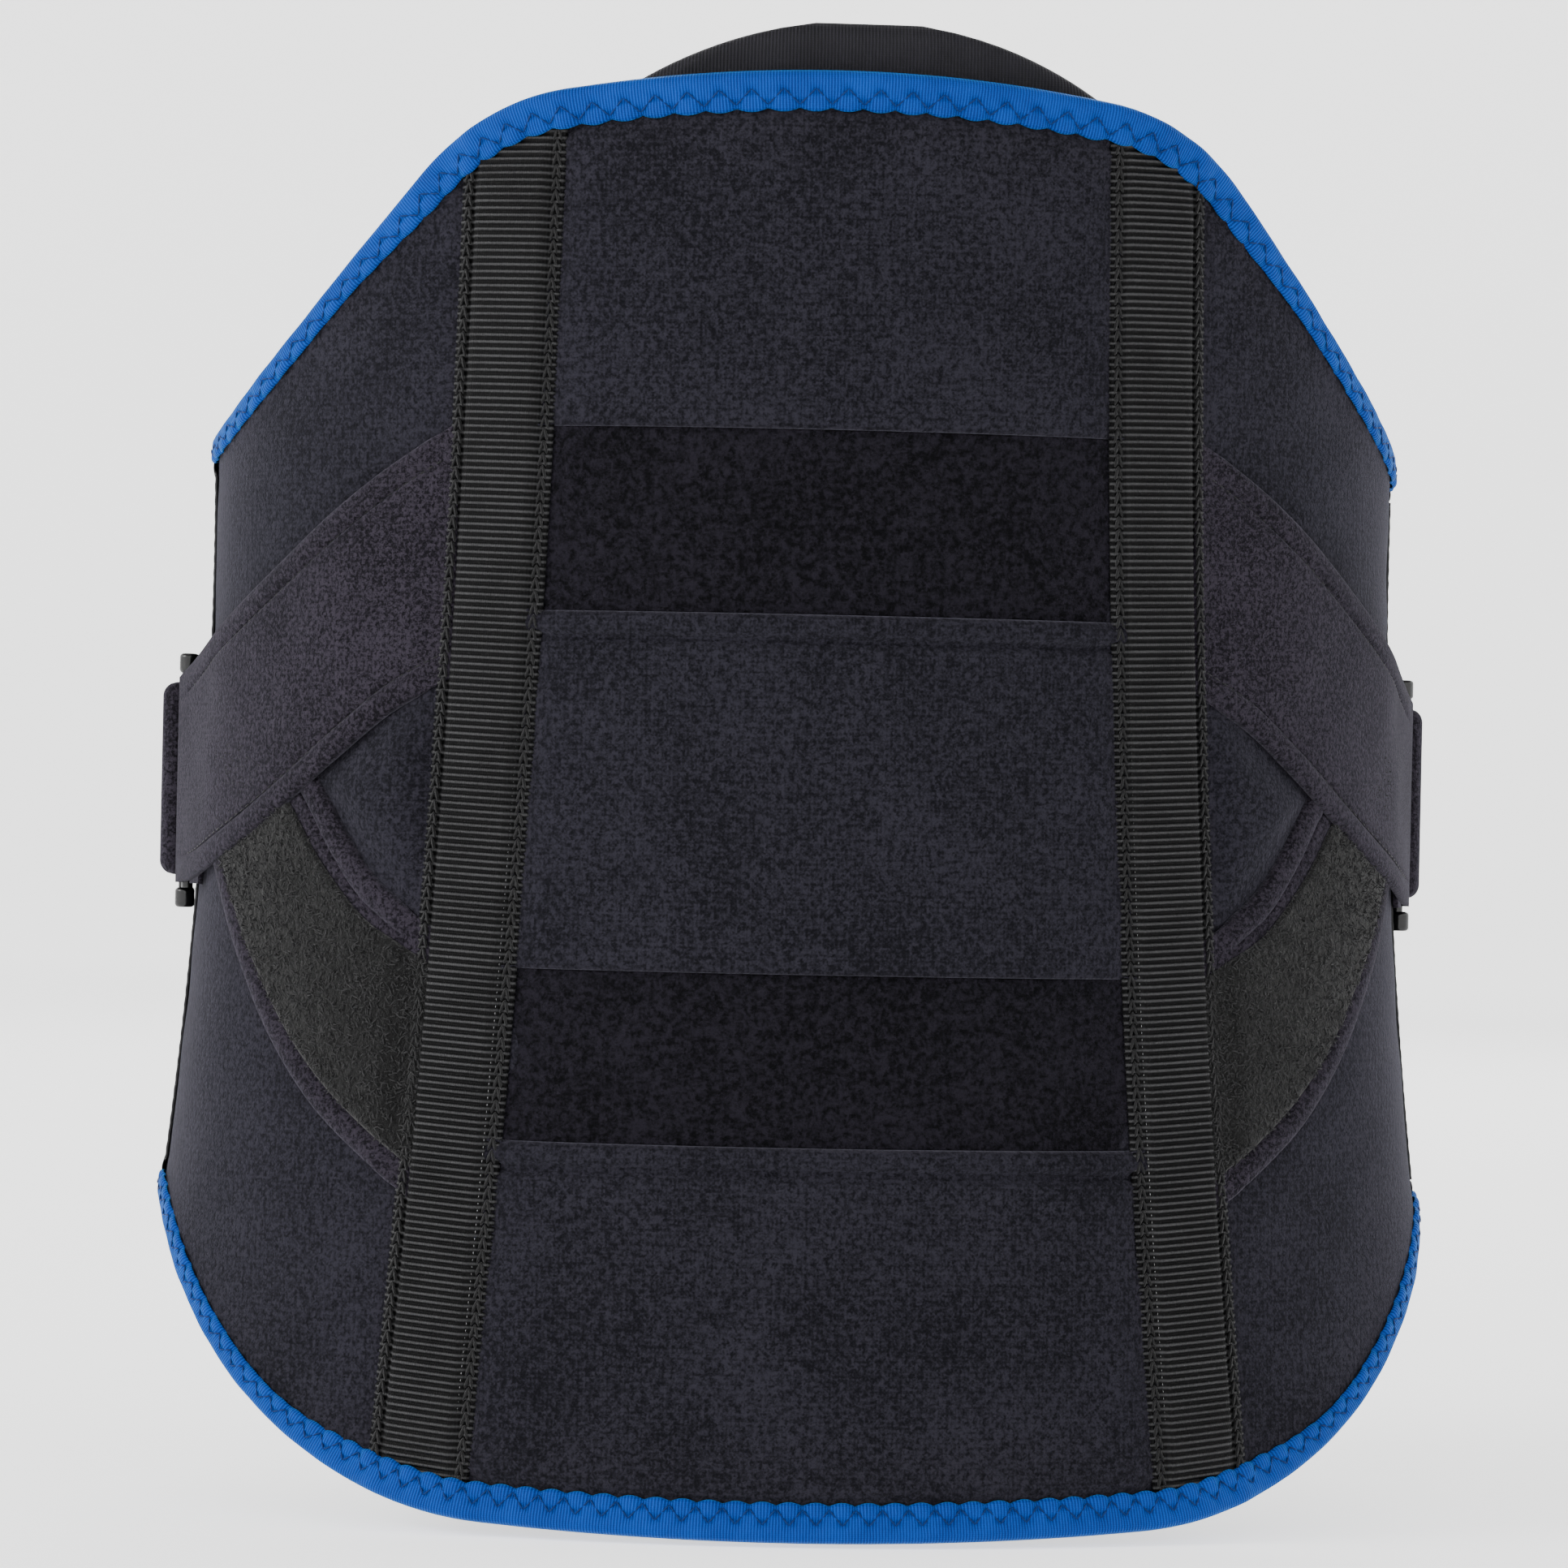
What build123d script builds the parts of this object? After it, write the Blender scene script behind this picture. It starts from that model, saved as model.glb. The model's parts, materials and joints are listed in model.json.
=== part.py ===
from build123d import *
import os

# Lumbar support belt, closed as it is worn: a padded back panel with two stayed webbing channels, elastic
# arms that run from the channels to a ring at each flank, a front wing at each side that closes over the
# belly, pull straps from the rings to the front, and a removable pad inside the back panel.
# Millimetres. Z is up, -Y is the wearer's back, and the origin is on the torso's axis at mid height.

# Torso form that the belt is sewn to fit: an ellipse at every height, narrowest at the waist.
WAIST_HALF_WIDTH, WAIST_HEIGHT, WIDTH_GROWTH = 155.3, 65.0, 3.7e-4
LUMBAR_HALF_DEPTH, LUMBAR_HEIGHT, DEPTH_GROWTH = 112.0, 20.0, 3.0e-4
FORM_LEVELS = (-200, -100, 0, 100, 200)
REACH = 200.0  # longer than any half depth of the form

# Flanks. The wings swing about a vertical line just outside the widest part of the belt.
SEAM_GAP = 0.3
HINGE_X = 168.0

# Back panel: the outline's outer edge is the blue binding's fold.
PANEL_THICKNESS = 4.3
LINING_OUT, LINING_IN = -4.4, -5.2
BINDING_WALL, BINDING_GAP = 1.1, 0.1
OUTER_EDGE = {"top": (182.0, 90.0, 170.3, 1.231, 70.0), "bottom": (-182.0, 129.4, -175.0, 2.02, 62.0)}
PANEL_EDGE = {"top": (180.7, 89.4, 169.1, 1.231, 69.0), "bottom": (-180.7, 128.9, -173.6, 2.02, 61.0)}
BINDING_EDGE = {"top": (172.0, 84.4, 161.0, 1.149, 60.0), "bottom": (-172.0, 122.6, -165.5, 1.73, 52.0)}

# Webbing channels with a spring-steel stay in each. The centre line bows outwards towards the hips.
CHANNEL_WIDTH, CHANNEL_CROWN = 25.0, 18.5
CHANNEL_LINE = ((80.0, 176.0), (84.8, 19.0), (98.6, -178.0))
CHANNEL_WALL, CROWN_HEIGHT = 1.3, 3.2
STAY_WIDTH, STAY_BOTTOM, STAY_TOP, STAY_HALF_LENGTH = 15.5, 0.3, 1.8, 152.0

# Elastic bands across the back and the arms that carry on from them to the flanks.
BAND_OUT, BAND_HEM, HEM_STEP = 1.9, 7.0, 0.6
UPPER_BAND, LOWER_BAND = (41.4, 95.4), (-91.0, -40.0)
ARM_START = 97.0
UPPER_ARM = ((ARM_START, 87.0), (157.0, 30.0), (157.0, -22.5), (ARM_START, 29.5))
LOWER_ARM = ((103.0, -29.0), (157.0, 28.0), (157.0, -13.0), (107.0, -84.0))
PATCH = ((106.5, -31.5), (150.0, 13.0), (150.0, -17.5), (108.5, -76.0))
LOWER_ARM_LAYER, PATCH_LAYER, UPPER_ARM_LAYER = (0.2, 1.6), (1.7, 2.5), (2.8, 4.2)

# Rings, and the straps that loop round their bars.
BAR_RADIUS, BAR_CLEARANCE, STRAP_THICKNESS = 1.5, 0.35, 1.35
REAR_BAR, FRONT_BAR = (161.4, 4.0), (162.6, 16.5)
RING_LOW, RING_HIGH, RAIL_RADIUS = -27.5, 34.5, 2.6
ARM_LOOP_Z, STRAP_Z = (-22.0, 29.5), (-21.0, 29.0)
LOOP_RADIUS = BAR_RADIUS + BAR_CLEARANCE + STRAP_THICKNESS
STRAP_FLANK_OFFSET, STRAP_FRONT_OFFSET = 5.9, 2.9
STRAP_END, STRAP_CORNER = 92.0, 12.0
TAB_END, TAB_OVERLAP = 70.0, 0.3
ANCHOR_LAYER = (0.3, 1.7)
ANCHOR_Y = (12.0, 62.0)

# Front wings. The right one is cut fuller, so that it closes over the left one.
WING_THICKNESS = 4.0
WING_TOP = ((0.0, 93.0), (70.0, 80.0), (REACH, 78.0))
WING_BOTTOM = ((0.0, -105.0), (70.0, -92.0), (REACH, -90.0))
EDGING_WIDTH, EDGING_WALL = 8.0, 1.0
WING_CORNER, WING_LEVEL_X = 20.0, 70.0
LEFT_WING_END, RIGHT_WING_END = 3.0, -66.0
CLOSURE_FULLNESS = 7.8
CLOSURE_PATCH, CLOSURE_PATCH_Z, CLOSURE_TAPE = (-54.0, -14.0), (-78.0, 66.0), 1.1
GRIP_PATCH, GRIP_PATCH_Z, GRIP_PATCH_CORNER = (-52.0, 8.0), (-48.0, 36.0), 14.0
GRIP_PATCH_LAYER = (0.2, 1.5)
FRONT_STAY_X, FRONT_STAY_WIDTH, FRONT_POCKET_WIDTH = 118.0, 12.0, 18.0

# Removable pad inside the back panel.
PAD_LAYER, PAD_PLATE_LAYER, PAD_HOOK_LAYER = (-13.8, -6.8), (-11.8, -9.0), (-6.7, -5.6)
PAD_HALF_WIDTH, PAD_TOP, PAD_BOTTOM, PAD_CROWN_RADIUS, PAD_CORNER = 76.0, 196.0, -128.0, 119.0, 30.0
PLATE_INSET = 9.0

BACK_PLANE = Plane.XZ.offset(SEAM_GAP)
FRONT_PLANE = Plane.XZ.offset(-SEAM_GAP)


def half_width(z):
    return WAIST_HALF_WIDTH + WIDTH_GROWTH * (z - WAIST_HEIGHT) ** 2


def half_depth(z):
    return LUMBAR_HALF_DEPTH + DEPTH_GROWTH * (z - LUMBAR_HEIGHT) ** 2


def form(flank, depth=None):
    """The torso form, grown by flank at its sides and by depth at its back and front."""
    depth = flank if depth is None else depth
    with BuildPart() as torso:
        for z in FORM_LEVELS:
            with BuildSketch(Plane.XY.offset(z)):
                Ellipse(half_width(z) + flank, half_depth(z) + depth)
        loft()
    return torso.part


def panel_outline(edge):
    """The back panel's outline from behind: arcs at top and bottom and a slanted line at each corner."""
    top, top_x, top_z, top_slope, top_radius = edge["top"]
    low, low_x, low_z, low_slope, low_radius = edge["bottom"]
    top_out = (REACH, top_z - top_slope * (REACH - top_x))
    low_out = (REACH, low_z + low_slope * (REACH - low_x))
    with BuildSketch() as outline:
        with BuildLine():
            ThreePointArc((-top_x, top_z), (0, top), (top_x, top_z))
            Polyline((top_x, top_z), top_out, low_out, (low_x, low_z))
            ThreePointArc((low_x, low_z), (0, low), (-low_x, low_z))
            Polyline((-low_x, low_z), (-low_out[0], low_out[1]), (-top_out[0], top_out[1]), (-top_x, top_z))
        make_face()
        corners = outline.vertices().filter_by(lambda v: abs(v.X) < REACH - 1)
        fillet(corners.filter_by(lambda v: v.Y > 0), radius=top_radius)
        corners = outline.vertices().filter_by(lambda v: abs(v.Y - low_z) < 0.01)
        fillet(corners, radius=low_radius)
    return outline.sketch


def channel_strip(width):
    """A strip of the given width along the right-hand channel's line."""
    with BuildSketch() as strip:
        with BuildLine():
            left = ThreePointArc(*[(x - width / 2, z) for x, z in CHANNEL_LINE])
            right = ThreePointArc(*[(x + width / 2, z) for x, z in CHANNEL_LINE])
            Line(left @ 0, right @ 0)
            Line(left @ 1, right @ 1)
        make_face()
    return strip.sketch


def box_outline(low_x, high_x, low_z, high_z, corner=0.0):
    with BuildSketch() as box:
        with Locations(((low_x + high_x) / 2, (low_z + high_z) / 2)):
            if corner:
                RectangleRounded(high_x - low_x, high_z - low_z, corner)
            else:
                Rectangle(high_x - low_x, high_z - low_z)
    return box.sketch


def polygon(points):
    with BuildSketch() as face:
        with BuildLine():
            Polyline(*points, close=True)
        make_face()
    return face.sketch


def bend_to_form(flat, inner, outer, inner_depth=None, outer_depth=None):
    """Keeps the part of a straight prism that lies between two sizes of the torso form."""
    with BuildPart() as bent:
        add(flat)
        add(form(outer, outer_depth), mode=Mode.INTERSECT)
        add(form(inner, inner_depth), mode=Mode.SUBTRACT)
    return bent.part


def prism(outline, front=False):
    """Extrudes an outline drawn as seen from behind through the form's back or front half."""
    with BuildPart() as flat:
        with BuildSketch(FRONT_PLANE if front else BACK_PLANE):
            add(outline)
        extrude(amount=-REACH if front else REACH)
    return flat.part


# Back panel and what is sewn to it.
def back_panel():
    return bend_to_form(prism(panel_outline(PANEL_EDGE)), -PANEL_THICKNESS, 0)


def back_lining():
    return bend_to_form(prism(panel_outline(PANEL_EDGE)), LINING_IN, LINING_OUT)


def bindings():
    """The blue binding, folded round the panel's edge: the top run and the bottom run."""
    outer_wall, inner_wall = BINDING_GAP + BINDING_WALL, LINING_IN - BINDING_GAP - BINDING_WALL
    hollow = bend_to_form(prism(panel_outline(PANEL_EDGE)), LINING_IN - BINDING_GAP, BINDING_GAP)
    with BuildPart() as both:
        add(bend_to_form(prism(panel_outline(OUTER_EDGE)), inner_wall, outer_wall))
        add(prism(panel_outline(BINDING_EDGE)), mode=Mode.SUBTRACT)
        add(hollow, mode=Mode.SUBTRACT)
    runs = both.part.solids().sort_by(Axis.Z)
    return runs[-1], runs[0]


def webbing_channel():
    """Grosgrain webbing with flat sewn borders and a raised middle that holds the stay."""
    tunnel = prism(channel_strip(CHANNEL_CROWN - 2 * CHANNEL_WALL))
    with BuildPart() as webbing:
        add(bend_to_form(prism(channel_strip(CHANNEL_WIDTH)), BINDING_GAP, CHANNEL_WALL))
        add(bend_to_form(prism(channel_strip(CHANNEL_CROWN)), BINDING_GAP, CROWN_HEIGHT))
        add(bend_to_form(tunnel, -1, STAY_TOP + 0.2), mode=Mode.SUBTRACT)
        add(prism(panel_outline(BINDING_EDGE)), mode=Mode.INTERSECT)
    return webbing.part


def stay():
    with BuildPart() as spring:
        add(bend_to_form(prism(channel_strip(STAY_WIDTH)), STAY_BOTTOM, STAY_TOP))
        with BuildSketch(BACK_PLANE):
            RectangleRounded(2.4 * STAY_HALF_LENGTH, 2 * STAY_HALF_LENGTH, 3)
        extrude(amount=REACH, mode=Mode.INTERSECT)
    return spring.part


def band(low, high):
    """An elastic band across the back, with a thicker hem along each edge, butted to the channels."""
    reach = CHANNEL_LINE[2][0]
    with BuildPart() as elastic:
        add(bend_to_form(prism(box_outline(-reach, reach, low, high)), BINDING_GAP, BAND_OUT - HEM_STEP))
        for hem_low in (low, high - BAND_HEM):
            hem = prism(box_outline(-reach, reach, hem_low, hem_low + BAND_HEM))
            add(bend_to_form(hem, BINDING_GAP, BAND_OUT))
        channel = prism(channel_strip(CHANNEL_WIDTH + 0.4))
        add(channel, mode=Mode.SUBTRACT)
        add(mirror(channel, about=Plane.YZ), mode=Mode.SUBTRACT)
    return elastic.part.solids().sort_by(SortBy.VOLUME)[-1]


def upper_arm():
    return beside_channel(bend_to_form(prism(polygon(UPPER_ARM)), *UPPER_ARM_LAYER))


def lower_arm():
    return beside_channel(bend_to_form(prism(polygon(LOWER_ARM)), *LOWER_ARM_LAYER))


def loop_patch():
    return beside_channel(bend_to_form(prism(polygon(PATCH)), *PATCH_LAYER))


def beside_channel(sheet):
    """Cuts a side piece back to the channel's outer border, and keeps the outer side."""
    with BuildPart() as cut:
        add(sheet)
        add(prism(channel_strip(CHANNEL_WIDTH + 0.4)), mode=Mode.SUBTRACT)
    return cut.part.solids().sort_by(Axis.X)[-1]


# Ring, arm loop and straps at the right flank.
def bar_loop(bar, low, high):
    """Fabric wrapped round a ring's bar."""
    with BuildPart() as loop:
        with BuildSketch(Plane.XY.offset(low)):
            with Locations(bar):
                Circle(LOOP_RADIUS)
                Circle(BAR_RADIUS + BAR_CLEARANCE, mode=Mode.SUBTRACT)
        extrude(amount=high - low)
    return loop.part


def ring():
    """Two round bars joined by a rounded rail at each end."""
    with BuildPart() as loop:
        for bar in (REAR_BAR, FRONT_BAR):
            with BuildSketch(Plane.XY.offset(RING_LOW)):
                with Locations(bar):
                    Circle(BAR_RADIUS)
            extrude(amount=RING_HIGH - RING_LOW)
        middle = ((REAR_BAR[0] + FRONT_BAR[0]) / 2, (REAR_BAR[1] + FRONT_BAR[1]) / 2)
        span = FRONT_BAR[1] - REAR_BAR[1]
        for z in (RING_LOW, RING_HIGH):
            with BuildSketch(Plane.XY.offset(z - RAIL_RADIUS)):
                with Locations(Location(middle, 90)):
                    SlotOverall(span + 2 * RAIL_RADIUS, 2 * RAIL_RADIUS)
            extrude(amount=2 * RAIL_RADIUS)
        rails = loop.edges().filter_by(Plane.XY).filter_by(lambda e: e.length > 10 or e.radius > 2)
        fillet(rails, radius=1.0)
    return loop.part


def pull_strap(fullness):
    """The strap's outer leaf, from the loop round the ring's front bar to its rounded front end."""
    low, high = STRAP_Z
    inner, front = STRAP_FLANK_OFFSET, STRAP_FRONT_OFFSET + fullness
    with BuildPart() as strap:
        with BuildSketch(FRONT_PLANE.offset(-FRONT_BAR[1])):
            with Locations(((STRAP_END + REACH) / 2, (low + high) / 2)):
                RectangleRounded(REACH - STRAP_END, high - low, STRAP_CORNER)
        extrude(amount=-REACH)
        add(form(inner + STRAP_THICKNESS, front + STRAP_THICKNESS), mode=Mode.INTERSECT)
        add(form(inner, front), mode=Mode.SUBTRACT)
        add(bar_loop(FRONT_BAR, low, high))
        with BuildSketch(Plane.XY.offset(low - 1)):
            with Locations(FRONT_BAR):
                Circle(BAR_RADIUS + BAR_CLEARANCE)
        extrude(amount=high - low + 2, mode=Mode.SUBTRACT)
    return strap.part


def strap_tab(fullness):
    """Soft grip over the strap's front end, open at the back to take it."""
    low, high = STRAP_Z
    inner, front = STRAP_FLANK_OFFSET, STRAP_FRONT_OFFSET + fullness
    with BuildPart() as tab:
        with BuildSketch(FRONT_PLANE):
            with Locations(((TAB_END + STRAP_END - TAB_OVERLAP) / 2, (low + high) / 2)):
                RectangleRounded(STRAP_END - TAB_OVERLAP - TAB_END, high - low - 8, 6)
        extrude(amount=-REACH)
        add(form(inner + STRAP_THICKNESS + 0.6, front + STRAP_THICKNESS + 0.6), mode=Mode.INTERSECT)
        add(form(inner - 0.6, front - 0.6), mode=Mode.SUBTRACT)
    return tab.part


def strap_hook(fullness):
    """Hook tape under the strap's front end."""
    low, high = STRAP_Z
    flat = prism(box_outline(STRAP_END + 6, STRAP_END + 34, low + 5, high - 5), front=True)
    outer, front = STRAP_FLANK_OFFSET - 0.1, STRAP_FRONT_OFFSET + fullness - 0.1
    return bend_to_form(flat, outer - 0.9, outer, front - 0.9, front)


def strap_anchor(fullness):
    """The strap's inner leaf, sewn to the wing."""
    inner, outer = ANCHOR_LAYER
    with BuildPart() as leaf:
        with BuildSketch(Plane.YZ):
            add(box_outline(*ANCHOR_Y, *STRAP_Z))
        extrude(amount=REACH)
        add(form(outer, outer + fullness), mode=Mode.INTERSECT)
        add(form(inner, inner + fullness), mode=Mode.SUBTRACT)
        with BuildSketch(Plane.XY.offset(STRAP_Z[0] - 1)):
            with Locations(FRONT_BAR):
                Circle(LOOP_RADIUS + 0.4)
        extrude(amount=STRAP_Z[1] - STRAP_Z[0] + 2, mode=Mode.SUBTRACT)
    return leaf.part.solids().sort_by(Axis.Y)[-1]


# Front wing on the right-hand side. The left one is the same cut, mirrored, and ends before the middle.
def wing_prism(inset, end):
    """A straight prism of the wing's outline from the flank seam to its rounded front end."""
    top = [(y, z - inset) for y, z in WING_TOP]
    low = [(y, z + inset) for y, z in reversed(WING_BOTTOM)]
    high_z, low_z, tip = WING_TOP[-1][1] - inset, WING_BOTTOM[-1][1] + inset, end + inset
    level, spread = WING_LEVEL_X, WING_LEVEL_X + 20
    lower = [(REACH, -REACH), (spread, -REACH), (level, low_z), (tip, low_z)]
    upper = [(tip, high_z), (level, high_z), (spread, REACH), (REACH, REACH)]
    with BuildPart() as flat:
        with BuildSketch(FRONT_PLANE) as front:
            add(polygon(lower + upper))
            fillet(front.vertices().filter_by(lambda v: v.X < tip + 1), radius=WING_CORNER - inset)
        extrude(amount=-REACH)
        with BuildSketch(Plane.YZ.offset(end - 1)):
            add(polygon(top + low))
        extrude(amount=2 * REACH, mode=Mode.INTERSECT)
    return flat.part


def wing_shell(inset, end, fullness, inner, outer):
    return bend_to_form(wing_prism(inset, end), inner, outer, fullness + inner, fullness + outer)


def wing_panel(end, fullness):
    return wing_shell(EDGING_WALL + 0.1, end, fullness, -WING_THICKNESS, 0)


def wing_edging(end, fullness):
    """Black binding folded round the wing's top, front and bottom edges."""
    with BuildPart() as edging:
        add(wing_shell(0, end, fullness, -WING_THICKNESS - 0.1 - EDGING_WALL, 0.1 + EDGING_WALL))
        add(wing_prism(EDGING_WIDTH, end), mode=Mode.SUBTRACT)
        add(wing_shell(EDGING_WALL, end, fullness, -WING_THICKNESS - 0.1, 0.1), mode=Mode.SUBTRACT)
    return edging.part


def front_pocket(fullness):
    """Upright tape pocket on the wing, open inside for its stay."""
    x, half, hem = FRONT_STAY_X, FRONT_POCKET_WIDTH / 2, 2.0
    low, high = WING_BOTTOM[1][1] + EDGING_WIDTH + 1, WING_TOP[1][1] - EDGING_WIDTH - 1
    outer = prism(box_outline(x - half, x + half, low, high), front=True)
    hollow = prism(box_outline(x - half + hem, x + half - hem, low + hem, high - hem), front=True)
    with BuildPart() as pocket:
        add(bend_to_form(outer, 0.1, 2.0, fullness + 0.1, fullness + 2.0))
        add(bend_to_form(hollow, -1, 1.5, fullness - 1, fullness + 1.5), mode=Mode.SUBTRACT)
    return pocket.part


def front_stay(fullness):
    low, high = WING_BOTTOM[1][1] + 14, WING_TOP[1][1] - 14
    half = FRONT_STAY_WIDTH / 2
    flat = prism(box_outline(FRONT_STAY_X - half, FRONT_STAY_X + half, low, high), front=True)
    return bend_to_form(flat, 0.3, 1.3, fullness + 0.3, fullness + 1.3)


def closure_hook():
    """Hook tape inside the right wing's end, facing the loop tape."""
    flat = prism(box_outline(*CLOSURE_PATCH, *CLOSURE_PATCH_Z), front=True)
    outer = -WING_THICKNESS - 0.1
    depth = CLOSURE_FULLNESS + outer
    return bend_to_form(flat, outer - CLOSURE_TAPE, outer, depth - CLOSURE_TAPE, depth)


def closure_loop():
    """Loop tape on the outside of the left wing's end."""
    flat = prism(box_outline(*CLOSURE_PATCH, *CLOSURE_PATCH_Z), front=True)
    return bend_to_form(flat, 0.1, 0.1 + CLOSURE_TAPE)


def grip_patch():
    """Sewn-on patch where a hand grips the right wing's end."""
    inner, outer = GRIP_PATCH_LAYER
    flat = prism(box_outline(*GRIP_PATCH, *GRIP_PATCH_Z, GRIP_PATCH_CORNER), front=True)
    return bend_to_form(flat, inner, outer, CLOSURE_FULLNESS + inner, CLOSURE_FULLNESS + outer)


# Pad inside the back panel.
def pad_outline(inset):
    half, top, low = PAD_HALF_WIDTH - inset, PAD_TOP - inset, PAD_BOTTOM + inset
    radius = PAD_CROWN_RADIUS - inset
    shoulder = top - radius + (radius**2 - half**2) ** 0.5
    with BuildSketch() as outline:
        with BuildLine():
            ThreePointArc((-half, shoulder), (0, top), (half, shoulder))
            Polyline((half, shoulder), (half, low), (-half, low), (-half, shoulder))
        make_face()
        fillet(outline.vertices(), radius=PAD_CORNER - inset)
    return outline.sketch


def pad_cover():
    with BuildPart() as cover:
        add(bend_to_form(prism(pad_outline(0.0)), *PAD_LAYER))
        inner, outer = PAD_PLATE_LAYER
        add(bend_to_form(prism(pad_outline(PLATE_INSET - 0.5)), inner - 0.2, outer + 0.2), mode=Mode.SUBTRACT)
    return cover.part


def pad_plate():
    return bend_to_form(prism(pad_outline(PLATE_INSET)), *PAD_PLATE_LAYER)


def pad_hook_tapes():
    """Two upright hook tapes that hold the pad to the lining."""
    with BuildPart() as tapes:
        for x in (-45, 45):
            add(bend_to_form(prism(box_outline(x - 12, x + 12, -100, 140)), *PAD_HOOK_LAYER))
    return tapes.part


def save(shape, name):
    shape.label = name
    export_step(shape, f"parts/{name}.step")


def save_pair(shape, name):
    """Writes a right-hand piece and its mirror image."""
    save(shape, f"{name}_right")
    save(mirror(shape, about=Plane.YZ), f"{name}_left")


os.makedirs("parts", exist_ok=True)
save(back_panel(), "back_panel")
save(back_lining(), "back_lining")
top_run, bottom_run = bindings()
save(top_run, "top_binding")
save(bottom_run, "bottom_binding")
save_pair(webbing_channel(), "webbing_channel")
save_pair(stay(), "back_stay")
save(band(*UPPER_BAND), "upper_band")
save(band(*LOWER_BAND), "lower_band")
save_pair(upper_arm(), "upper_arm")
save_pair(lower_arm(), "lower_arm")
save_pair(loop_patch(), "loop_patch")
save_pair(bar_loop(REAR_BAR, *ARM_LOOP_Z), "arm_loop")
save_pair(ring(), "ring")
for side, end, fullness in (("right", RIGHT_WING_END, CLOSURE_FULLNESS), ("left", LEFT_WING_END, 0.0)):
    pieces = {
        "wing_panel": wing_panel(end, fullness),
        "wing_edging": wing_edging(end, fullness),
        "front_pocket": front_pocket(fullness),
        "front_stay": front_stay(fullness),
        "strap_anchor": strap_anchor(fullness),
        "pull_strap": pull_strap(fullness),
        "strap_tab": strap_tab(fullness),
        "strap_hook": strap_hook(fullness),
    }
    for name, shape in pieces.items():
        save(shape if side == "right" else mirror(shape, about=Plane.YZ), f"{name}_{side}")
save(closure_hook(), "closure_hook")
save(closure_loop(), "closure_loop")
save(grip_patch(), "grip_patch")
save(pad_cover(), "pad_cover")
save(pad_plate(), "pad_plate")
save(pad_hook_tapes(), "pad_hook_tapes")
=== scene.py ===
import json
import math

import bmesh
import bpy
import numpy as np
from mathutils import Matrix, Vector


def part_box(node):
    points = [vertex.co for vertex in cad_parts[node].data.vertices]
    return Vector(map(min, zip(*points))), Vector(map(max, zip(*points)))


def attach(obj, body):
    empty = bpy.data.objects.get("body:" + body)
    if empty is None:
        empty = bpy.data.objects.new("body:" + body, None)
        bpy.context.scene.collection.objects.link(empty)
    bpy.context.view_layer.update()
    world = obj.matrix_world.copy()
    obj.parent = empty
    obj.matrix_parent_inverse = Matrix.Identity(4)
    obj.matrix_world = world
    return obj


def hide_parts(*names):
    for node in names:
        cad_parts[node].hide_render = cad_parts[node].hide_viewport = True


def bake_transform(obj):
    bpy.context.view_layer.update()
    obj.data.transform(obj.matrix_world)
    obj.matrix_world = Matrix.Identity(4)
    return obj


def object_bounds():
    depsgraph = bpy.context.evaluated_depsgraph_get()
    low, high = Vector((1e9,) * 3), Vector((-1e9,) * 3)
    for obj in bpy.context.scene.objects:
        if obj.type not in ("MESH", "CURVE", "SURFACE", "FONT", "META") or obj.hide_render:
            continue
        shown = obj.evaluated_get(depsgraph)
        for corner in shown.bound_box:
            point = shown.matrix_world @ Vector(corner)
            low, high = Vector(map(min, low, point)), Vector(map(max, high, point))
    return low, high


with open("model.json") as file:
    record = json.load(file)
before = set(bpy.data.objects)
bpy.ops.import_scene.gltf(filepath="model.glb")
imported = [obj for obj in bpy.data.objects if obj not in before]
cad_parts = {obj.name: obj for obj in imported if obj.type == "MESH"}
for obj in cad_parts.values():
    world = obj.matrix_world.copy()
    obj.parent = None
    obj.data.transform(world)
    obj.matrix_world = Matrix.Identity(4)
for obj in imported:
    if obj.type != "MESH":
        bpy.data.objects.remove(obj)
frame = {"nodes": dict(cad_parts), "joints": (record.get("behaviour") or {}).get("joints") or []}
cadBounds = [list(corner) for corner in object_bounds()]
nodes = frame["nodes"]
joints = {joint["name"]: joint for joint in frame["joints"]}
sides = {"right": 1, "left": -1}
mm = 0.001
print("frame loaded,", len(nodes), "parts")


# The torso that the belt is sewn to fit: an ellipse at every height.
torso = {
    "halfWidth": 155.3 * mm, "waistHeight": 65 * mm, "widthGrowth": 0.37,
    "halfDepth": 112 * mm, "lumbarHeight": 20 * mm, "depthGrowth": 0.30,
}


def halfWidth(z):
    return torso["halfWidth"] + torso["widthGrowth"] * (z - torso["waistHeight"]) ** 2


def halfDepth(z):
    return torso["halfDepth"] + torso["depthGrowth"] * (z - torso["lumbarHeight"]) ** 2


def onTorso(angle, z, lift, fullness=0.0):
    # angle 0 is the middle of the back, and a quarter turn is the wearer's right flank
    width, depth = halfWidth(z) + lift, halfDepth(z) + lift + fullness
    return np.stack([width * np.sin(angle), -depth * np.cos(angle), z + 0 * angle], axis=-1)


def angleAt(x, z):
    return np.arcsin(np.clip(x / halfWidth(z), -1, 1))


def girthPerAngle(angle, z):
    return np.hypot(halfWidth(z) * np.cos(angle), halfDepth(z) * np.sin(angle))


tableAngles = np.linspace(0, 1.5 * math.pi, 1081)
tableSteps = girthPerAngle(tableAngles, 0.0) * (tableAngles[1] - tableAngles[0])
tableGirths = np.concatenate([[0], np.cumsum((tableSteps[1:] + tableSteps[:-1]) / 2)])
flankGirth = float(np.interp(math.pi / 2, tableAngles, tableGirths))


def angleAtGirth(girth):
    return np.interp(girth, tableGirths, tableAngles)


def girthAtAngle(angle):
    return np.sign(angle) * np.interp(np.abs(angle), tableAngles, tableGirths)


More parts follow.
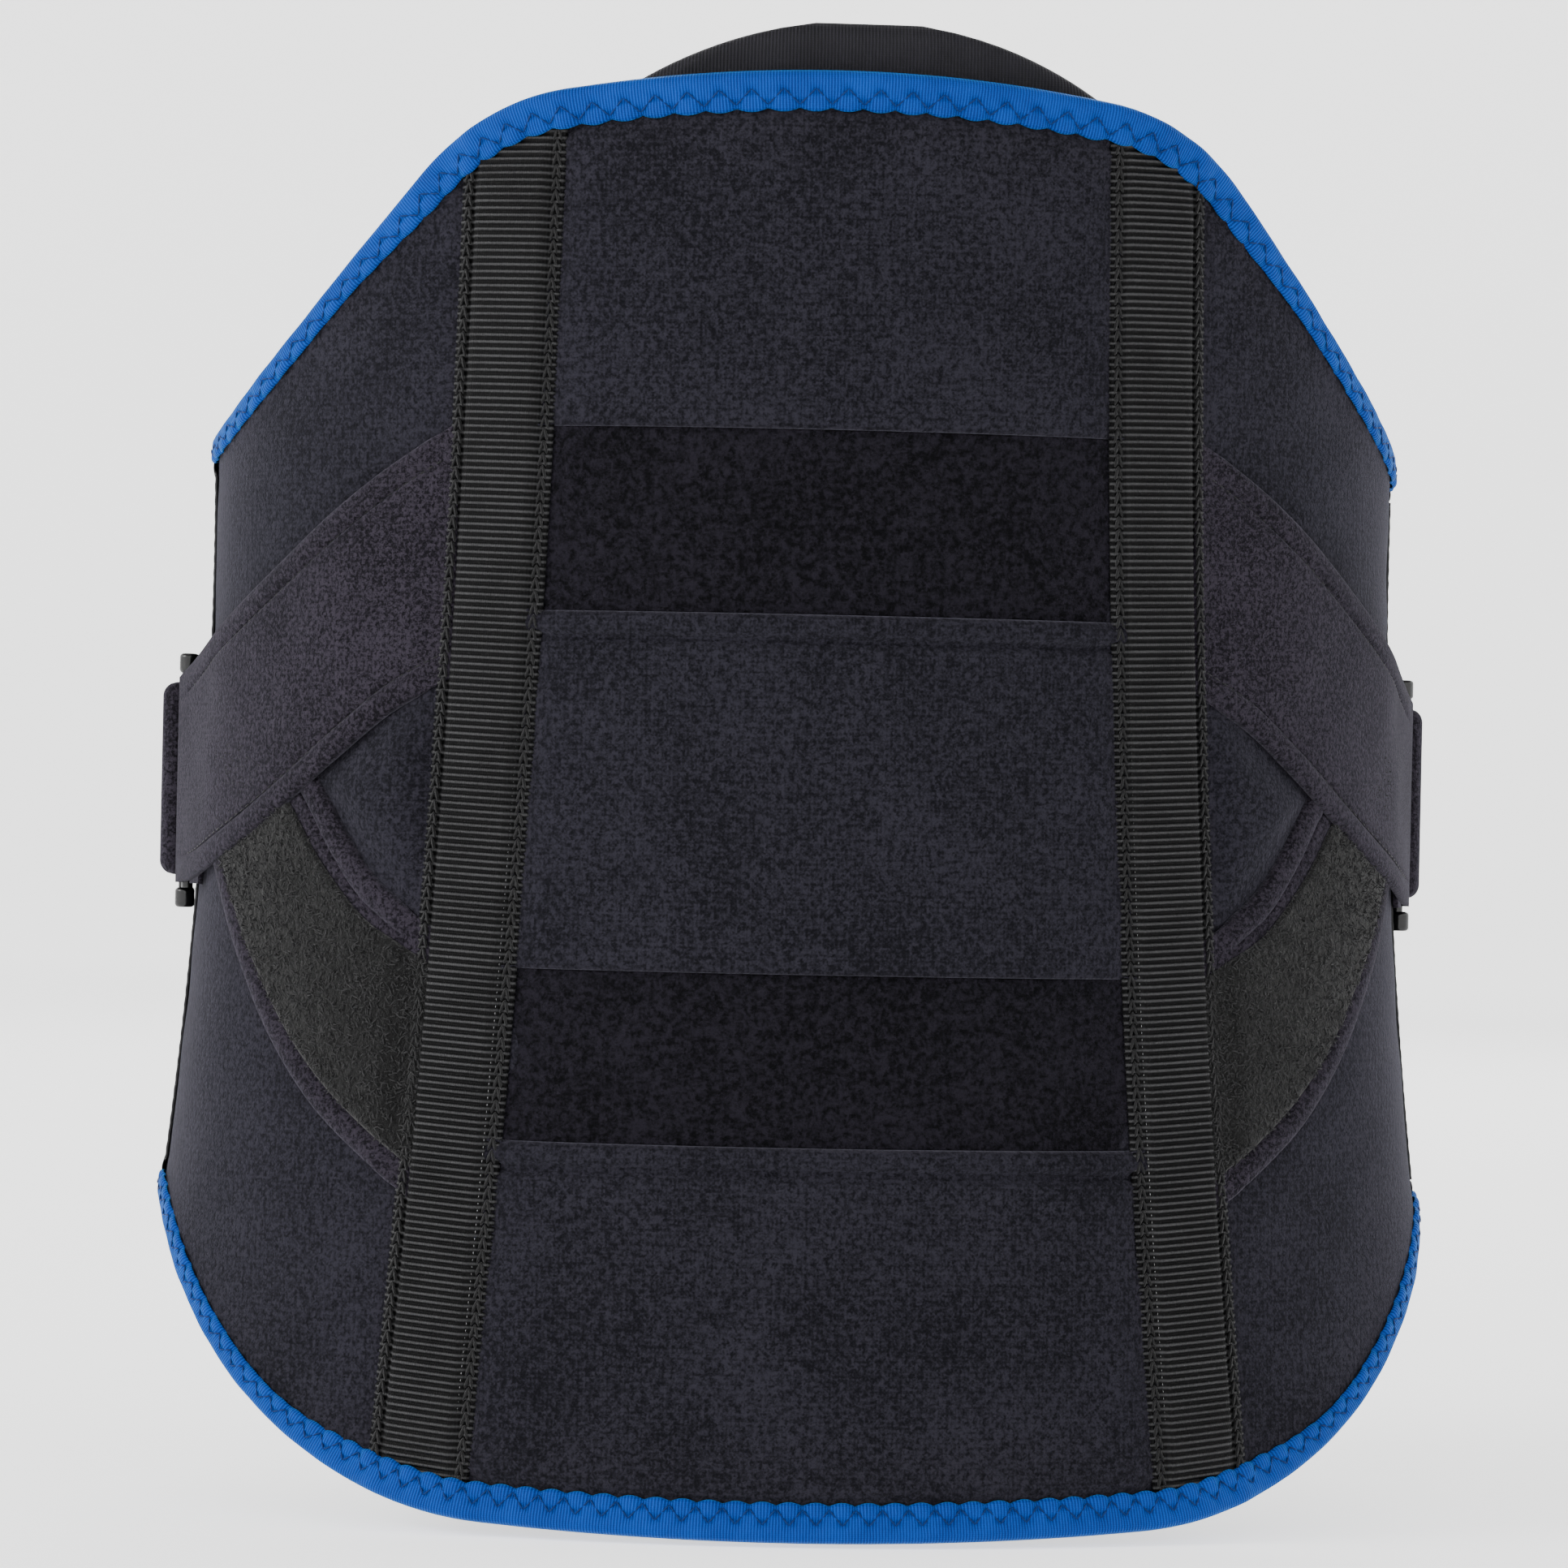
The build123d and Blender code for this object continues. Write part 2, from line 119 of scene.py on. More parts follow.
def ease(value, low, high):
    t = np.clip((value - low) / (high - low), 0, 1)
    return t * t * (3 - 2 * t)


def ripple(p, q, seed=0.0):
    # a soft unevenness between about -1 and 1, with waves of 20 to 60 mm
    a = np.sin(p * 171 + q * 63 + seed) + np.sin(p * -97 + q * 148 + 1.7 * seed + 2)
    return (a + np.sin(p * 233 - q * 191 + 2.3 * seed) + np.sin(q * 270 + 0.6 * seed)) / 4


def roundedEdge(distance, radius):
    # how far a rolled edge drops below the sheet, at a distance from the edge
    t = np.clip(1 - distance / radius, 0, 1)
    return radius * (1 - np.sqrt(1 - t * t))


def crowded(t, length, edge, share=0.12):
    # spreads grid rows so that a share of them at each end lies within the edge
    return np.interp(t, [0, share, 1 - share, 1], [0, edge, length - edge, length])


# The back panel's edges: an arc over the middle, a rounded corner and a slanted straight side.
panelShape = {
    "top": {"middle": 182 * mm, "corner": (89.9 * mm, 173.4 * mm), "slope": 1.22, "radius": 56 * mm},
    "bottom": {"middle": 181 * mm, "corner": (146 * mm, 173.2 * mm), "slope": 3.4, "radius": 90 * mm},
    "channelLine": ((80 * mm, 176 * mm), (84.8 * mm, 19 * mm), (98.6 * mm, -178 * mm)),
    "channelHalfWidth": 12.6 * mm,
}


def edgeCurve(middle, corner, slope, radius):
    cornerX, cornerZ = corner
    arc = (cornerX ** 2 + (middle - cornerZ) ** 2) / (2 * (middle - cornerZ))
    centre = middle - arc
    length = math.hypot(1, slope)
    lineX, lineZ = cornerX - slope / length * radius, cornerZ - radius / length - centre
    a, b = 1 + slope ** 2, 2 * (lineX - slope * lineZ)
    c = lineX ** 2 + lineZ ** 2 - (arc - radius) ** 2
    t = (-b - math.sqrt(b * b - 4 * a * c)) / (2 * a)
    roundX, roundZ = lineX + t, lineZ - slope * t + centre
    arcEnd, lineStart = roundX * arc / (arc - radius), roundX + slope / length * radius

    def height(x):
        x = np.abs(x)
        overMiddle = centre + np.sqrt(arc ** 2 - np.minimum(x, arcEnd) ** 2)
        fromRound = np.clip(x, arcEnd, lineStart) - roundX
        overCorner = roundZ + np.sqrt(np.maximum(radius ** 2 - fromRound ** 2, 0))
        overSide = cornerZ - slope * (x - cornerX)
        return np.where(x < arcEnd, overMiddle, np.where(x < lineStart, overCorner, overSide))
    return height


topEdge = edgeCurve(**panelShape["top"])
bottomEdge = edgeCurve(**panelShape["bottom"])
channelFit = np.polyfit(*[[p[i] for p in panelShape["channelLine"]] for i in (1, 0)], 2)


def channelX(z):
    return np.polyval(channelFit, z)


def edgeHeight(angle, top, inset=0.0):
    # height of the panel's top or bottom edge where it crosses that angle, found by coming closer in turns
    z = np.full_like(angle, 0.1 if top else -0.1)
    for _ in range(14):
        x = halfWidth(z) * np.sin(angle)
        z = topEdge(x) - inset if top else inset - bottomEdge(x)
    return z


def clothGrid(name, cells, place):
    # a grid shaped by place(u, v), which gives points and the cloth's own flat coordinates in metres
    bm = bmesh.new()
    bmesh.ops.create_grid(bm, x_segments=cells[0], y_segments=cells[1], size=0.5)
    mesh = bpy.data.meshes.new(name)
    bm.to_mesh(mesh)
    bm.free()
    flat = np.empty(len(mesh.vertices) * 3)
    mesh.vertices.foreach_get("co", flat)
    flat = flat.reshape(-1, 3)
    u, v = (np.clip(flat[:, i] + 0.5, 0, 1) for i in (0, 1))
    points, clothU, clothV = place(u, v)
    mesh.vertices.foreach_set("co", points.ravel())
    corners = np.empty(len(mesh.loops), int)
    mesh.loops.foreach_get("vertex_index", corners)
    cloth = mesh.uv_layers.new(name="cloth")
    cloth.data.foreach_set("uv", np.stack([clothU[corners], clothV[corners]], axis=-1).ravel())
    return addObject(name, mesh)


def addObject(name, mesh):
    mesh.shade_smooth()
    mesh.update()
    obj = bpy.data.objects.new(name, mesh)
    bpy.context.scene.collection.objects.link(obj)
    return obj


def onSide(place, side):
    # the left-hand copy of a right-hand placing function, with its faces still outwards
    if side == "right":
        return place

    def placeLeft(u, v):
        points, clothU, clothV = place(1 - u, v)
        return points * np.array([-1, 1, 1]), -clothU, clothV
    return placeLeft


def cutCloth(name, cells, place, thickness, offset=-1.0):
    # a placed grid with a wall, which grows inwards from it, or to both sides with an offset of 0
    obj = clothGrid(name, cells, place)
    solidify = obj.modifiers.new("thickness", "SOLIDIFY")
    solidify.thickness, solidify.offset = thickness, offset
    solidify.use_even_offset = False
    return obj


def paint(obj, finish):
    obj.data.materials.clear()
    obj.data.materials.append(finishes[finish])


def dress(obj, finish, body=None, stands=(), bend=None):
    # gives a piece its material and hides the parts that it stands for, then attaches it to the body that it
    # moves with, or, given a bend, only fixes it where it stands
    paint(obj, finish)
    if stands:
        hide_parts(*stands)
    if bend:
        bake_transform(obj)
    else:
        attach(obj, body)


def flankBend(side, back, front):
    # the back and the wing on one side, with a point on the flank at each of two depths, for cloth that
    # passes the flank; nothing here bends the cloth between them
    x = sides[side] * 0.16
    return ("back", f"wing_{side}", (x, back, 0), (x, front, 0))


def stitches(name, ends, radius, faces=(6, 6)):
    # short thread stitches, each a copy of one bead stretched between two points
    bm = bmesh.new()
    bmesh.ops.create_uvsphere(bm, u_segments=faces[0], v_segments=faces[1], radius=1)
    bead = bpy.data.meshes.new(name + "Bead")
    bm.to_mesh(bead)
    bm.clear()
    for _ in ends:
        bm.from_mesh(bead)
    mesh = bpy.data.meshes.new(name)
    bm.to_mesh(mesh)
    bm.free()
    shape = np.array([v.co for v in bead.vertices])
    bpy.data.meshes.remove(bead)
    ends = np.array(ends)
    middle, along = ends.mean(axis=1), ends[:, 1] - ends[:, 0]
    length = np.linalg.norm(along, axis=1, keepdims=True)
    along = along / length
    across = np.cross(along, [0.3, 0.2, 0.93])
    across /= np.linalg.norm(across, axis=1, keepdims=True)
    over = np.cross(along, across)
    turned = shape[None, :, 0:1] * across[:, None] + shape[None, :, 1:2] * over[:, None]
    stretched = shape[None, :, 2:3] * (along * length / 2)[:, None]
    mesh.vertices.foreach_set("co", (middle[:, None] + turned * radius + stretched).ravel())
    return addObject(name, mesh)


# Materials.
class Wire:
    def __init__(self, graph, socket):
        self.graph, self.socket = graph, socket

    def calc(self, operation, *values):
        return self.graph.node("ShaderNodeMath", {"operation": operation}, dict(enumerate(values)))

    def __add__(self, other):
        return self.calc("ADD", self, other)

    def __sub__(self, other):
        return self.calc("SUBTRACT", self, other)

    def __rsub__(self, other):
        return self.calc("SUBTRACT", other, self)

    def __mul__(self, other):
        return self.calc("MULTIPLY", self, other)

    def __pow__(self, other):
        return self.calc("POWER", self, other)

    __radd__, __rmul__ = __add__, __mul__

    def wave(self, pitch):
        # 0 to 1 and back once every pitch
        return self.calc("SINE", self * (2 * math.pi / pitch)) * 0.5 + 0.5

    def between(self, low, high):
        inputs = {"Value": self, "From Min": low, "From Max": high}
        return self.graph.node("ShaderNodeMapRange", {"interpolation_type": "SMOOTHSTEP"}, inputs)


class Graph:
    def __init__(self, name):
        self.material = bpy.data.materials.new(name)
        self.material.use_nodes = True
        self.tree = self.material.node_tree
        self.shader = self.tree.nodes["Principled BSDF"]

    def node(self, kind, settings=None, inputs=None, output=0):
        made = self.tree.nodes.new(kind)
        for key, value in (settings or {}).items():
            if key == "stops":
                ramp = made.color_ramp.elements
                while len(ramp) < len(value):
                    ramp.new(0.5)
                for stop, (position, colour) in zip(ramp, value):
                    stop.position, stop.color = position, (*colour, 1)
            else:
                setattr(made, key, value)
        for key, value in (inputs or {}).items():
            self.feed(made.inputs[key], value)
        return Wire(self, made.outputs[output])

    def feed(self, socket, value):
        if isinstance(value, Wire):
            self.tree.links.new(value.socket, socket)
        else:
            socket.default_value = value

    def place(self):
        return self.node("ShaderNodeTexCoord", output="Object")

    def cloth(self):
        return self.node("ShaderNodeUVMap", {"uv_map": "cloth"})

    def axes(self, vector):
        split = self.node("ShaderNodeSeparateXYZ", None, {0: vector})
        outputs = split.socket.node.outputs
        return [Wire(self, outputs[i]) for i in range(3)]

    def noise(self, vector, size, detail=2.0, roughness=0.5):
        inputs = {"Vector": vector, "Scale": 1 / size, "Detail": detail, "Roughness": roughness}
        return self.node("ShaderNodeTexNoise", None, inputs)

    def stretched(self, vector, scale):
        return self.node("ShaderNodeMapping", None, {"Vector": vector, "Scale": scale})

    def blend(self, factor, low, high):
        def colour(value):
            return value if isinstance(value, Wire) else (*value, 1)
        inputs = {0: factor, 6: colour(low), 7: colour(high)}
        return self.node("ShaderNodeMix", {"data_type": "RGBA"}, inputs, 2)

    def finish(self, colour, bump=None, depth=0.0, **values):
        self.feed(self.shader.inputs["Base Color"], colour if isinstance(colour, Wire) else (*colour, 1))
        for key, value in values.items():
            self.feed(self.shader.inputs[key.replace("_", " ")], value)
        if bump:
            inputs = {"Height": bump, "Distance": depth, "Strength": 1.0}
            self.feed(self.shader.inputs["Normal"], self.node("ShaderNodeBump", None, inputs, "Normal"))
        return self.material


def plushMaterial(name, dark, light, nap=0.55 * mm, depth=0.35 * mm, sheen=0.35, rows=0.0, contrast=3.6):
    # brushed loop pile: dark roots, paler tips, and patches where the pile leans another way
    g = Graph(name)
    place = g.place()
    tips = g.noise(place, nap, 3, 0.7)
    tufts = g.noise(place, nap * 2.4, 1, 0.5)
    lean = g.noise(place, 26 * mm, 1, 0.5)
    x, y, z = g.axes(place)
    knit = z.wave(1.25 * mm) * x.wave(1.05 * mm)
    pile = tips * 0.55 + tufts * 0.45 + knit * rows
    tone = (pile - 0.5 - rows * 0.25) * contrast + 0.48 + (lean - 0.5) * 0.5
    return g.finish(g.blend(tone.between(0.0, 1.0), dark, light), pile, depth, Roughness=1.0,
                    Sheen_Weight=sheen, Sheen_Roughness=0.4, Sheen_Tint=(0.82, 0.8, 1.0, 1),
                    Specular_IOR_Level=0.08)


def loopMaterial(name, dark, light):
    # unbrushed loops that stand up and curl, coloured by their height: painted shade in the gaps between the
    # loops and painted light on their tops
    g = Graph(name)
    place = g.place()
    cells = {"Vector": place, "Scale": 1 / (2.2 * mm)}
    curls = g.node("ShaderNodeTexVoronoi", {"feature": "DISTANCE_TO_EDGE"}, cells)
    strands = g.noise(place, 0.8 * mm, 4, 0.75)
    height = curls * 0.8 + strands * 0.9
    # painted shade low down and painted light high up: the colour follows the loops' height
    tone = height.between(0.5, 0.95)
    return g.finish(g.blend(tone, dark, light), height, 0.9 * mm, Roughness=0.85, Sheen_Weight=0.12,
                    Sheen_Roughness=0.4, Specular_IOR_Level=0.15)


def tapeMaterial(name, dark, light, rib, roughness=0.6, depth=0.12 * mm, sheen=0.0, specular=0.15,
                 tint=(1, 1, 1, 1)):
    # woven tape with fine cross ribs, and yarns that run along it
    g = Graph(name)
    u, v, _ = g.axes(g.cloth())
    ribs, yarns = u.wave(rib), v.wave(rib * 0.62)
    uneven = g.noise(g.place(), 0.4 * mm, 2, 0.6)
    broad = g.noise(g.place(), 9 * mm, 2, 0.5)
    height = ribs * 0.7 + yarns * 0.2 + uneven * 0.25
    tone = (height * 0.75 + broad * 0.4 - 0.1).between(0.15, 0.95)
    return g.finish(g.blend(tone, dark, light), height, depth, Roughness=roughness, Sheen_Weight=sheen,
                    Sheen_Roughness=0.35, Sheen_Tint=tint, Specular_IOR_Level=specular)


def webbingMaterial(name, dark, light, pitch):
    # grosgrain: each rib's crest is glossier and is painted lighter as a painted highlight, and the grooves
    # between the ribs are painted dark as painted shade
    g = Graph(name)
    u, v, _ = g.axes(g.cloth())
    ribs = (v - pitch / 4).wave(pitch)
    yarns = u.wave(0.55 * mm)
    uneven = g.noise(g.place(), 0.45 * mm, 2, 0.6)
    broad = g.noise(g.place(), 11 * mm, 2, 0.5)
    height = ribs * 0.55 + yarns * 0.25 + uneven * 0.3
    # painted highlight on the rib crests and painted shade in the grooves: the colour follows the ribs
    tone = (ribs ** 1.7) * (0.25 + uneven * 1.1) * (0.6 + broad * 0.8)
    return g.finish(g.blend(tone.between(0.05, 1.0), dark, light), height, 0.25 * mm,
                    Roughness=0.62 - ribs * 0.12, Specular_IOR_Level=0.1)


def threadMaterial(name, dark, light, sheen=0.15):
    g = Graph(name)
    twist = g.noise(g.place(), 0.35 * mm, 2, 0.6)
    return g.finish(g.blend(twist, dark, light), twist, 0.1 * mm, Roughness=0.55, Sheen_Weight=sheen,
                    Sheen_Roughness=0.4, Specular_IOR_Level=0.15)


def plasticMaterial(name, dark, light):
    g = Graph(name)
    place = g.place()
    grain, wear = g.noise(place, 0.35 * mm, 2, 0.5), g.noise(place, 7 * mm, 3, 0.6)
    rough = 0.16 + wear.between(0.4, 0.8) * 0.16
    return g.finish(g.blend(wear * 0.5, dark, light), grain, 0.015 * mm, Roughness=rough,
                    Specular_IOR_Level=0.35)


def hookMaterial(name, dark, light):
    g = Graph(name)
    u, v, _ = g.axes(g.cloth())
    hooks = u.wave(1.3 * mm) * v.wave(1.7 * mm)
    stray = g.noise(g.place(), 0.5 * mm, 2, 0.6)
    return g.finish(g.blend(hooks, dark, light), hooks + stray * 0.3, 0.7 * mm, Roughness=0.5)


def steelMaterial(name, dark, light):
    g = Graph(name)
    brushed = g.noise(g.stretched(g.place(), (1, 1, 0.03)), 0.3 * mm, 2, 0.6)
    return g.finish(g.blend(brushed, dark, light), brushed, 0.02 * mm, Roughness=0.3 + brushed * 0.2,
                    Metallic=1.0)


# Every finish: how it is made, its dark and its light colour, and what else is special about it.
recipes = {
    "backPlush": (plushMaterial, (0.0028, 0.0026, 0.0040), (0.0150, 0.0140, 0.0195),
                  {"sheen": 0.1, "rows": 0.06}),
    "bandPlush": (plushMaterial, (0.0006, 0.0005, 0.0010), (0.0085, 0.0074, 0.0110),
                  {"nap": 0.75 * mm, "depth": 0.8 * mm, "sheen": 0.05}),
    "armPlush": (plushMaterial, (0.0030, 0.0024, 0.0038), (0.0225, 0.0188, 0.0262),
                 {"nap": 0.42 * mm, "depth": 0.5 * mm, "sheen": 0.08, "rows": 0.04, "contrast": 4.6}),
    "wingPlush": (plushMaterial, (0.0028, 0.0026, 0.0040), (0.0150, 0.0140, 0.0195),
                  {"sheen": 0.1, "rows": 0.05}),
    # the loop patch's ground pile is kept darker as painted shade, and its standing curls lighter as painted
    # light, though both are the same black yarn
    "loopPile": (loopMaterial, (0.0002, 0.0002, 0.0002), (0.0055, 0.0055, 0.0058), {}),
    "loopCurl": (threadMaterial, (0.0004, 0.0004, 0.0005), (0.033, 0.033, 0.034), {"sheen": 0.05}),
    # the webbing's light colour is a painted highlight on its rib crests, and its dark colour is painted
    # shade in the grooves
    "webbing": (webbingMaterial, (0.0003, 0.0003, 0.0004), (0.030, 0.030, 0.031), {"pitch": 1.75 * mm}),
    "blueTape": (tapeMaterial, (0.0, 0.014, 0.11), (0.0, 0.050, 0.30),
                 {"rib": 0.75 * mm, "depth": 0.2 * mm, "sheen": 0.35, "specular": 0.08,
                  "tint": (0.03, 0.45, 1.0, 1)}),
    "blackTape": (tapeMaterial, (0.001, 0.001, 0.0012), (0.0095, 0.0095, 0.0105), {"rib": 0.8 * mm}),
    "tricot": (tapeMaterial, (0.0018, 0.0017, 0.0026), (0.0105, 0.0098, 0.0135),
               {"rib": 0.9 * mm, "roughness": 0.7, "depth": 0.15 * mm, "sheen": 0.1}),
    "tabFabric": (tapeMaterial, (0.004, 0.004, 0.0045), (0.021, 0.021, 0.023),
                  {"rib": 0.9 * mm, "depth": 0.1 * mm, "sheen": 0.05}),
    "blueThread": (threadMaterial, (0.0, 0.006, 0.04), (0.0, 0.02, 0.11), {"sheen": 0.0}),
    "blackThread": (threadMaterial, (0.0008, 0.0008, 0.0008), (0.0075, 0.0075, 0.008), {}),
    "gloss": (plasticMaterial, (0.0015, 0.0015, 0.0018), (0.006, 0.006, 0.0065), {}),
    "sheetPlastic": (plasticMaterial, (0.02, 0.02, 0.02), (0.05, 0.05, 0.05), {}),
    "hooks": (hookMaterial, (0.004, 0.004, 0.004), (0.03, 0.03, 0.032), {}),
    "steel": (steelMaterial, (0.36, 0.36, 0.37), (0.55, 0.55, 0.56), {}),
}
finishes = {name: make(name, dark, light, **special)
            for name, (make, dark, light, special) in recipes.items()}
print("materials made,", len(finishes))


# Elastic arms, from the channels to a ring at each flank. Edges are given as (girth, height) in millimetres.
rearBar, frontBar = (Vector(joints[name]["pos_m"]) for name in ("ring_right_swing", "strap_right_peel"))
arm = {
    "high": ((97, 95), (116, 83.8), (135, 71.0), (154, 58.4), (174, 47.6), (196, 38.5), (215.8, 30.8)),
    "low": ((97, 31), (113.8, 22.7), (130.1, 10.5), (148, -2), (168, -12.6), (192, -20.5), (215.8, -23.5)),
    "thickness": 1.35 * mm, "wrapRadius": 2.53 * mm, "firstTurn": -0.27, "tail": 24 * mm,
    "restLift": 3.0 * mm, "takeOff": 27 * mm, "leafShare": 0.68, "wrapShare": 0.84,
    "hem": 6.0 * mm, "hemRows": 0.27, "hemDepth": 0.13, "width": 53 * mm,
    "seam": {"pitch": 2.7 * mm, "length": 1.9 * mm, "proud": 0.75 * mm, "radius": 0.17 * mm},
    "bendFrom": -28 * mm, "bendTo": 1 * mm, "flat": (54 * mm, 190 * mm),
}
lowerArm = {
    "high": ((96, -34), (107, -27.5), (118, -19.5), (127, -9.5), (138, 4.5), (152, 18), (180, 28)),
    "low": ((95, -103), (111, -92.5), (131, -77.5), (150, -58.5), (169, -35), (186, -14), (197, -8)),
    "lift": 0.95 * mm, "thickness": 1.2 * mm, "hemDepth": 0.15, "puff": 0.8 * mm, "flat": (54 * mm, 125 * mm),
}
patch = {
    "high": ((96, -43), (108, -36.3), (119.5, -29.6), (134, -16), (145, -3), (158, 10), (176, 20)),
    "low": ((95, -95.5), (108, -86.5), (128, -71.5), (146.5, -53), (166, -29.5), (181, -10.5), (191, -2)),
    "lift": 2.15 * mm, "thickness": 0.8 * mm, "flat": (39 * mm, 115 * mm),
    "curls": 4200, "curlRadius": 0.19 * mm, "curlLength": 2.1 * mm, "seed": 11,
}


def smoothCurve(points, t):
    # a smooth line through the points, in metres, at t from 0 to 1
    points = np.array(points, float) * mm
    tangents = np.gradient(points, axis=0)
    spot = np.clip(t, 0, 1) * (len(points) - 1)
    i = np.minimum(spot.astype(int), len(points) - 2)
    f = (spot - i)[..., None]
    p, q, m, n = points[i], points[i + 1], tangents[i], tangents[i + 1]
    return p + m * f + (3 * (q - p) - 2 * m - n) * f ** 2 + (2 * (p - q) + m + n) * f ** 3


# Back panel: laminated plush over foam. Between the arms it bulges out.
backPanel = {
    "cells": (180, 196), "thickness": 4.1 * mm, "inset": 1.2 * mm, "swell": 3.6 * mm,
    "liningCells": (90, 100), "liningDepth": 4.5 * mm, "liningThickness": 0.7 * mm,
}


def bulge(x, z):
    # the panel swells where neither arm presses on it
    girth = girthAtAngle(angleAt(np.abs(x), z))
    t = np.linspace(0, 1, 80)
    under = (np.interp(girth, *(smoothCurve(arm["low"], t)).T) - z) * 0.8
    over = (z - np.interp(girth, *(smoothCurve(lowerArm["high"], t)).T)) * 0.7
    beside = np.abs(x) - channelX(z) - panelShape["channelHalfWidth"] + 3 * mm
    inside = ease(np.minimum(under, over), -1.5 * mm, 13 * mm) * ease(beside, 0, 10 * mm)
    return backPanel["swell"] * inside


def placeBack(u, v, lift=0.0):
    angle = (u - 0.5) * math.pi
    low, high = (edgeHeight(angle, top, backPanel["inset"]) for top in (False, True))
    z = low + (high - low) * v
    x = halfWidth(z) * np.sin(angle)
    puff = bulge(x, z) + 0.35 * mm * ripple(x, z) if lift == 0 else lift
    return onTorso(angle, z, puff), girthAtAngle(angle), z


def placeLining(u, v):
    return placeBack(u, v, lift=-backPanel["liningDepth"])


back = cutCloth("backPanel", backPanel["cells"], placeBack, backPanel["thickness"])
dress(back, "backPlush", "back", ["back_panel"])
lining = cutCloth("backLining", backPanel["liningCells"], placeLining, backPanel["liningThickness"])
dress(lining, "tricot", "back", ["back_lining"])
print("back panel and lining done")


# Sections between the channels: three plush sections with two darker bands of long pile between them.
upperBand, lowerBand = ([corner.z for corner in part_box(name)] for name in ("upper_band", "lower_band"))
centre = {
    "hem": 6.6 * mm, "plushLift": 2.5 * mm, "bandLift": 0.55 * mm, "slit": 1.5 * mm, "roll": 1.15 * mm,
    "hump": 1.0 * mm, "groove": 1.9 * mm, "grooveHalfWidth": 0.85 * mm, "tuckedIn": 6 * mm,
    "underBinding": 4 * mm, "overlap": 2 * mm, "thickness": 0.8 * mm, "cells": (96, 112),
    "flatWidth": 170 * mm, "lastHeight": 178 * mm,
}


def rolledUnder(along, radius, turn=2.6):
    # distance from the edge, and drop below the sheet, along cloth whose edge rolls under
    angle = np.clip(turn - along / radius, 0, turn)
    distance = np.maximum(along - turn * radius, 0) + radius * (1 - np.sin(angle))
    return distance, radius * (1 - np.cos(angle))


def placeSection(low, high, lift, hem=False, rollLow=False, rollHigh=False, seed=0.0):
    # a section with no low or high end of its own reaches under the binding
    def ends(x):
        bottom = centre["underBinding"] - bottomEdge(x) if low is None else low + 0 * x
        return bottom, topEdge(x) - centre["underBinding"] if high is None else high + 0 * x

    def place(u, v):
        bottom, top = ends(0 * u)
        guess = bottom + (top - bottom) * v
        x = (2 * u - 1) * (channelX(guess) - centre["tuckedIn"])
        bottom, top = ends(x)
        along = crowded(v, 1, 0.065, 0.2) * (top - bottom)
        fromHigh, fromLow = top - bottom - along, along
        drop = 0 * u
        if rollHigh:
            fromHigh, drop = rolledUnder(fromHigh, centre["roll"])
        if rollLow:
            fromLow, lowDrop = rolledUnder(fromLow, centre["roll"])
            drop = drop + lowDrop
        z = np.where(v < 0.5, bottom + fromLow, top - fromHigh)
        near = channelX(z) - panelShape["channelHalfWidth"] - np.abs(x)
        pressed = lift * 0.75 * np.exp(-np.maximum(near, 0) / (3.2 * mm))
        puff = lift - pressed + 0.25 * mm * ripple(x, z, seed)
        puff -= drop * ease(near, -2 * mm, 3 * mm)
        if hem:
            groove = np.exp(-((fromHigh - centre["hem"]) / centre["grooveHalfWidth"]) ** 2)
            hump = np.sin(np.clip(fromHigh / centre["hem"], 0, 1) * math.pi)
            puff += centre["hump"] * hump - centre["groove"] * groove
        for edge, distance in ((high, fromHigh), (low, fromLow)):
            if edge is None:
                puff -= (lift - 0.3 * mm) * ease(-distance, -9 * mm, -4 * mm)
        angle = angleAt(x, z)
        return onTorso(angle, z, puff), girthAtAngle(angle), z
    return place


hem, slit, plush, band, overlap = (
    centre[key] for key in ("hem", "slit", "plushLift", "bandLift", "overlap"))
# Low end, high end and lift of each section, how it is finished, and the band that it stands for.
sections = {
    "topSection": ((upperBand[1] - slit, None, plush), {"rollLow": True}, ()),
    "upperBand": ((upperBand[0] + overlap, upperBand[1] + overlap, band), {"seed": 1.0}, ["upper_band"]),
    "middleSection": ((lowerBand[1] - slit, upperBand[0] + hem, plush),
                      {"rollLow": True, "rollHigh": True, "hem": True, "seed": 2.0}, ()),
    "lowerBand": ((lowerBand[0] + overlap, lowerBand[1] + overlap, band), {"seed": 3.0}, ["lower_band"]),
    "bottomSection": ((None, lowerBand[0] + hem, plush), {"rollHigh": True, "hem": True, "seed": 4.0}, ()),
}
for name, (span, options, stands) in sections.items():
    finish, slot = ("bandPlush", "band_elastic") if stands else ("backPlush", "charcoal_plush")
    section = cutCloth(name, centre["cells"], placeSection(*span, **options), centre["thickness"])
    dress(section, finish, "back", stands)
    low, high = (span[0] or -centre["lastHeight"]), (span[1] or centre["lastHeight"])
    high - low
print("centre sections done")


# Grosgrain channels: flat sewn borders, a dark groove, and a ribbed middle that the stay pushes up.
channel = {
    "pitch": 1.75 * mm, "rows": 5, "columns": 26, "crown": 9.2 * mm, "crownLift": 3.0 * mm,
    "borderLift": 1.15 * mm, "endLift": 1.3 * mm, "ribDepth": 0.7 * mm, "endInset": 5 * mm,
    "turnZone": 25 * mm, "thickness": 0.5 * mm, "chainPitch": 3.1 * mm, "chainInset": 2.0 * mm,
    "chainHalfWidth": 0.95 * mm, "chainRadius": 0.42 * mm,
}


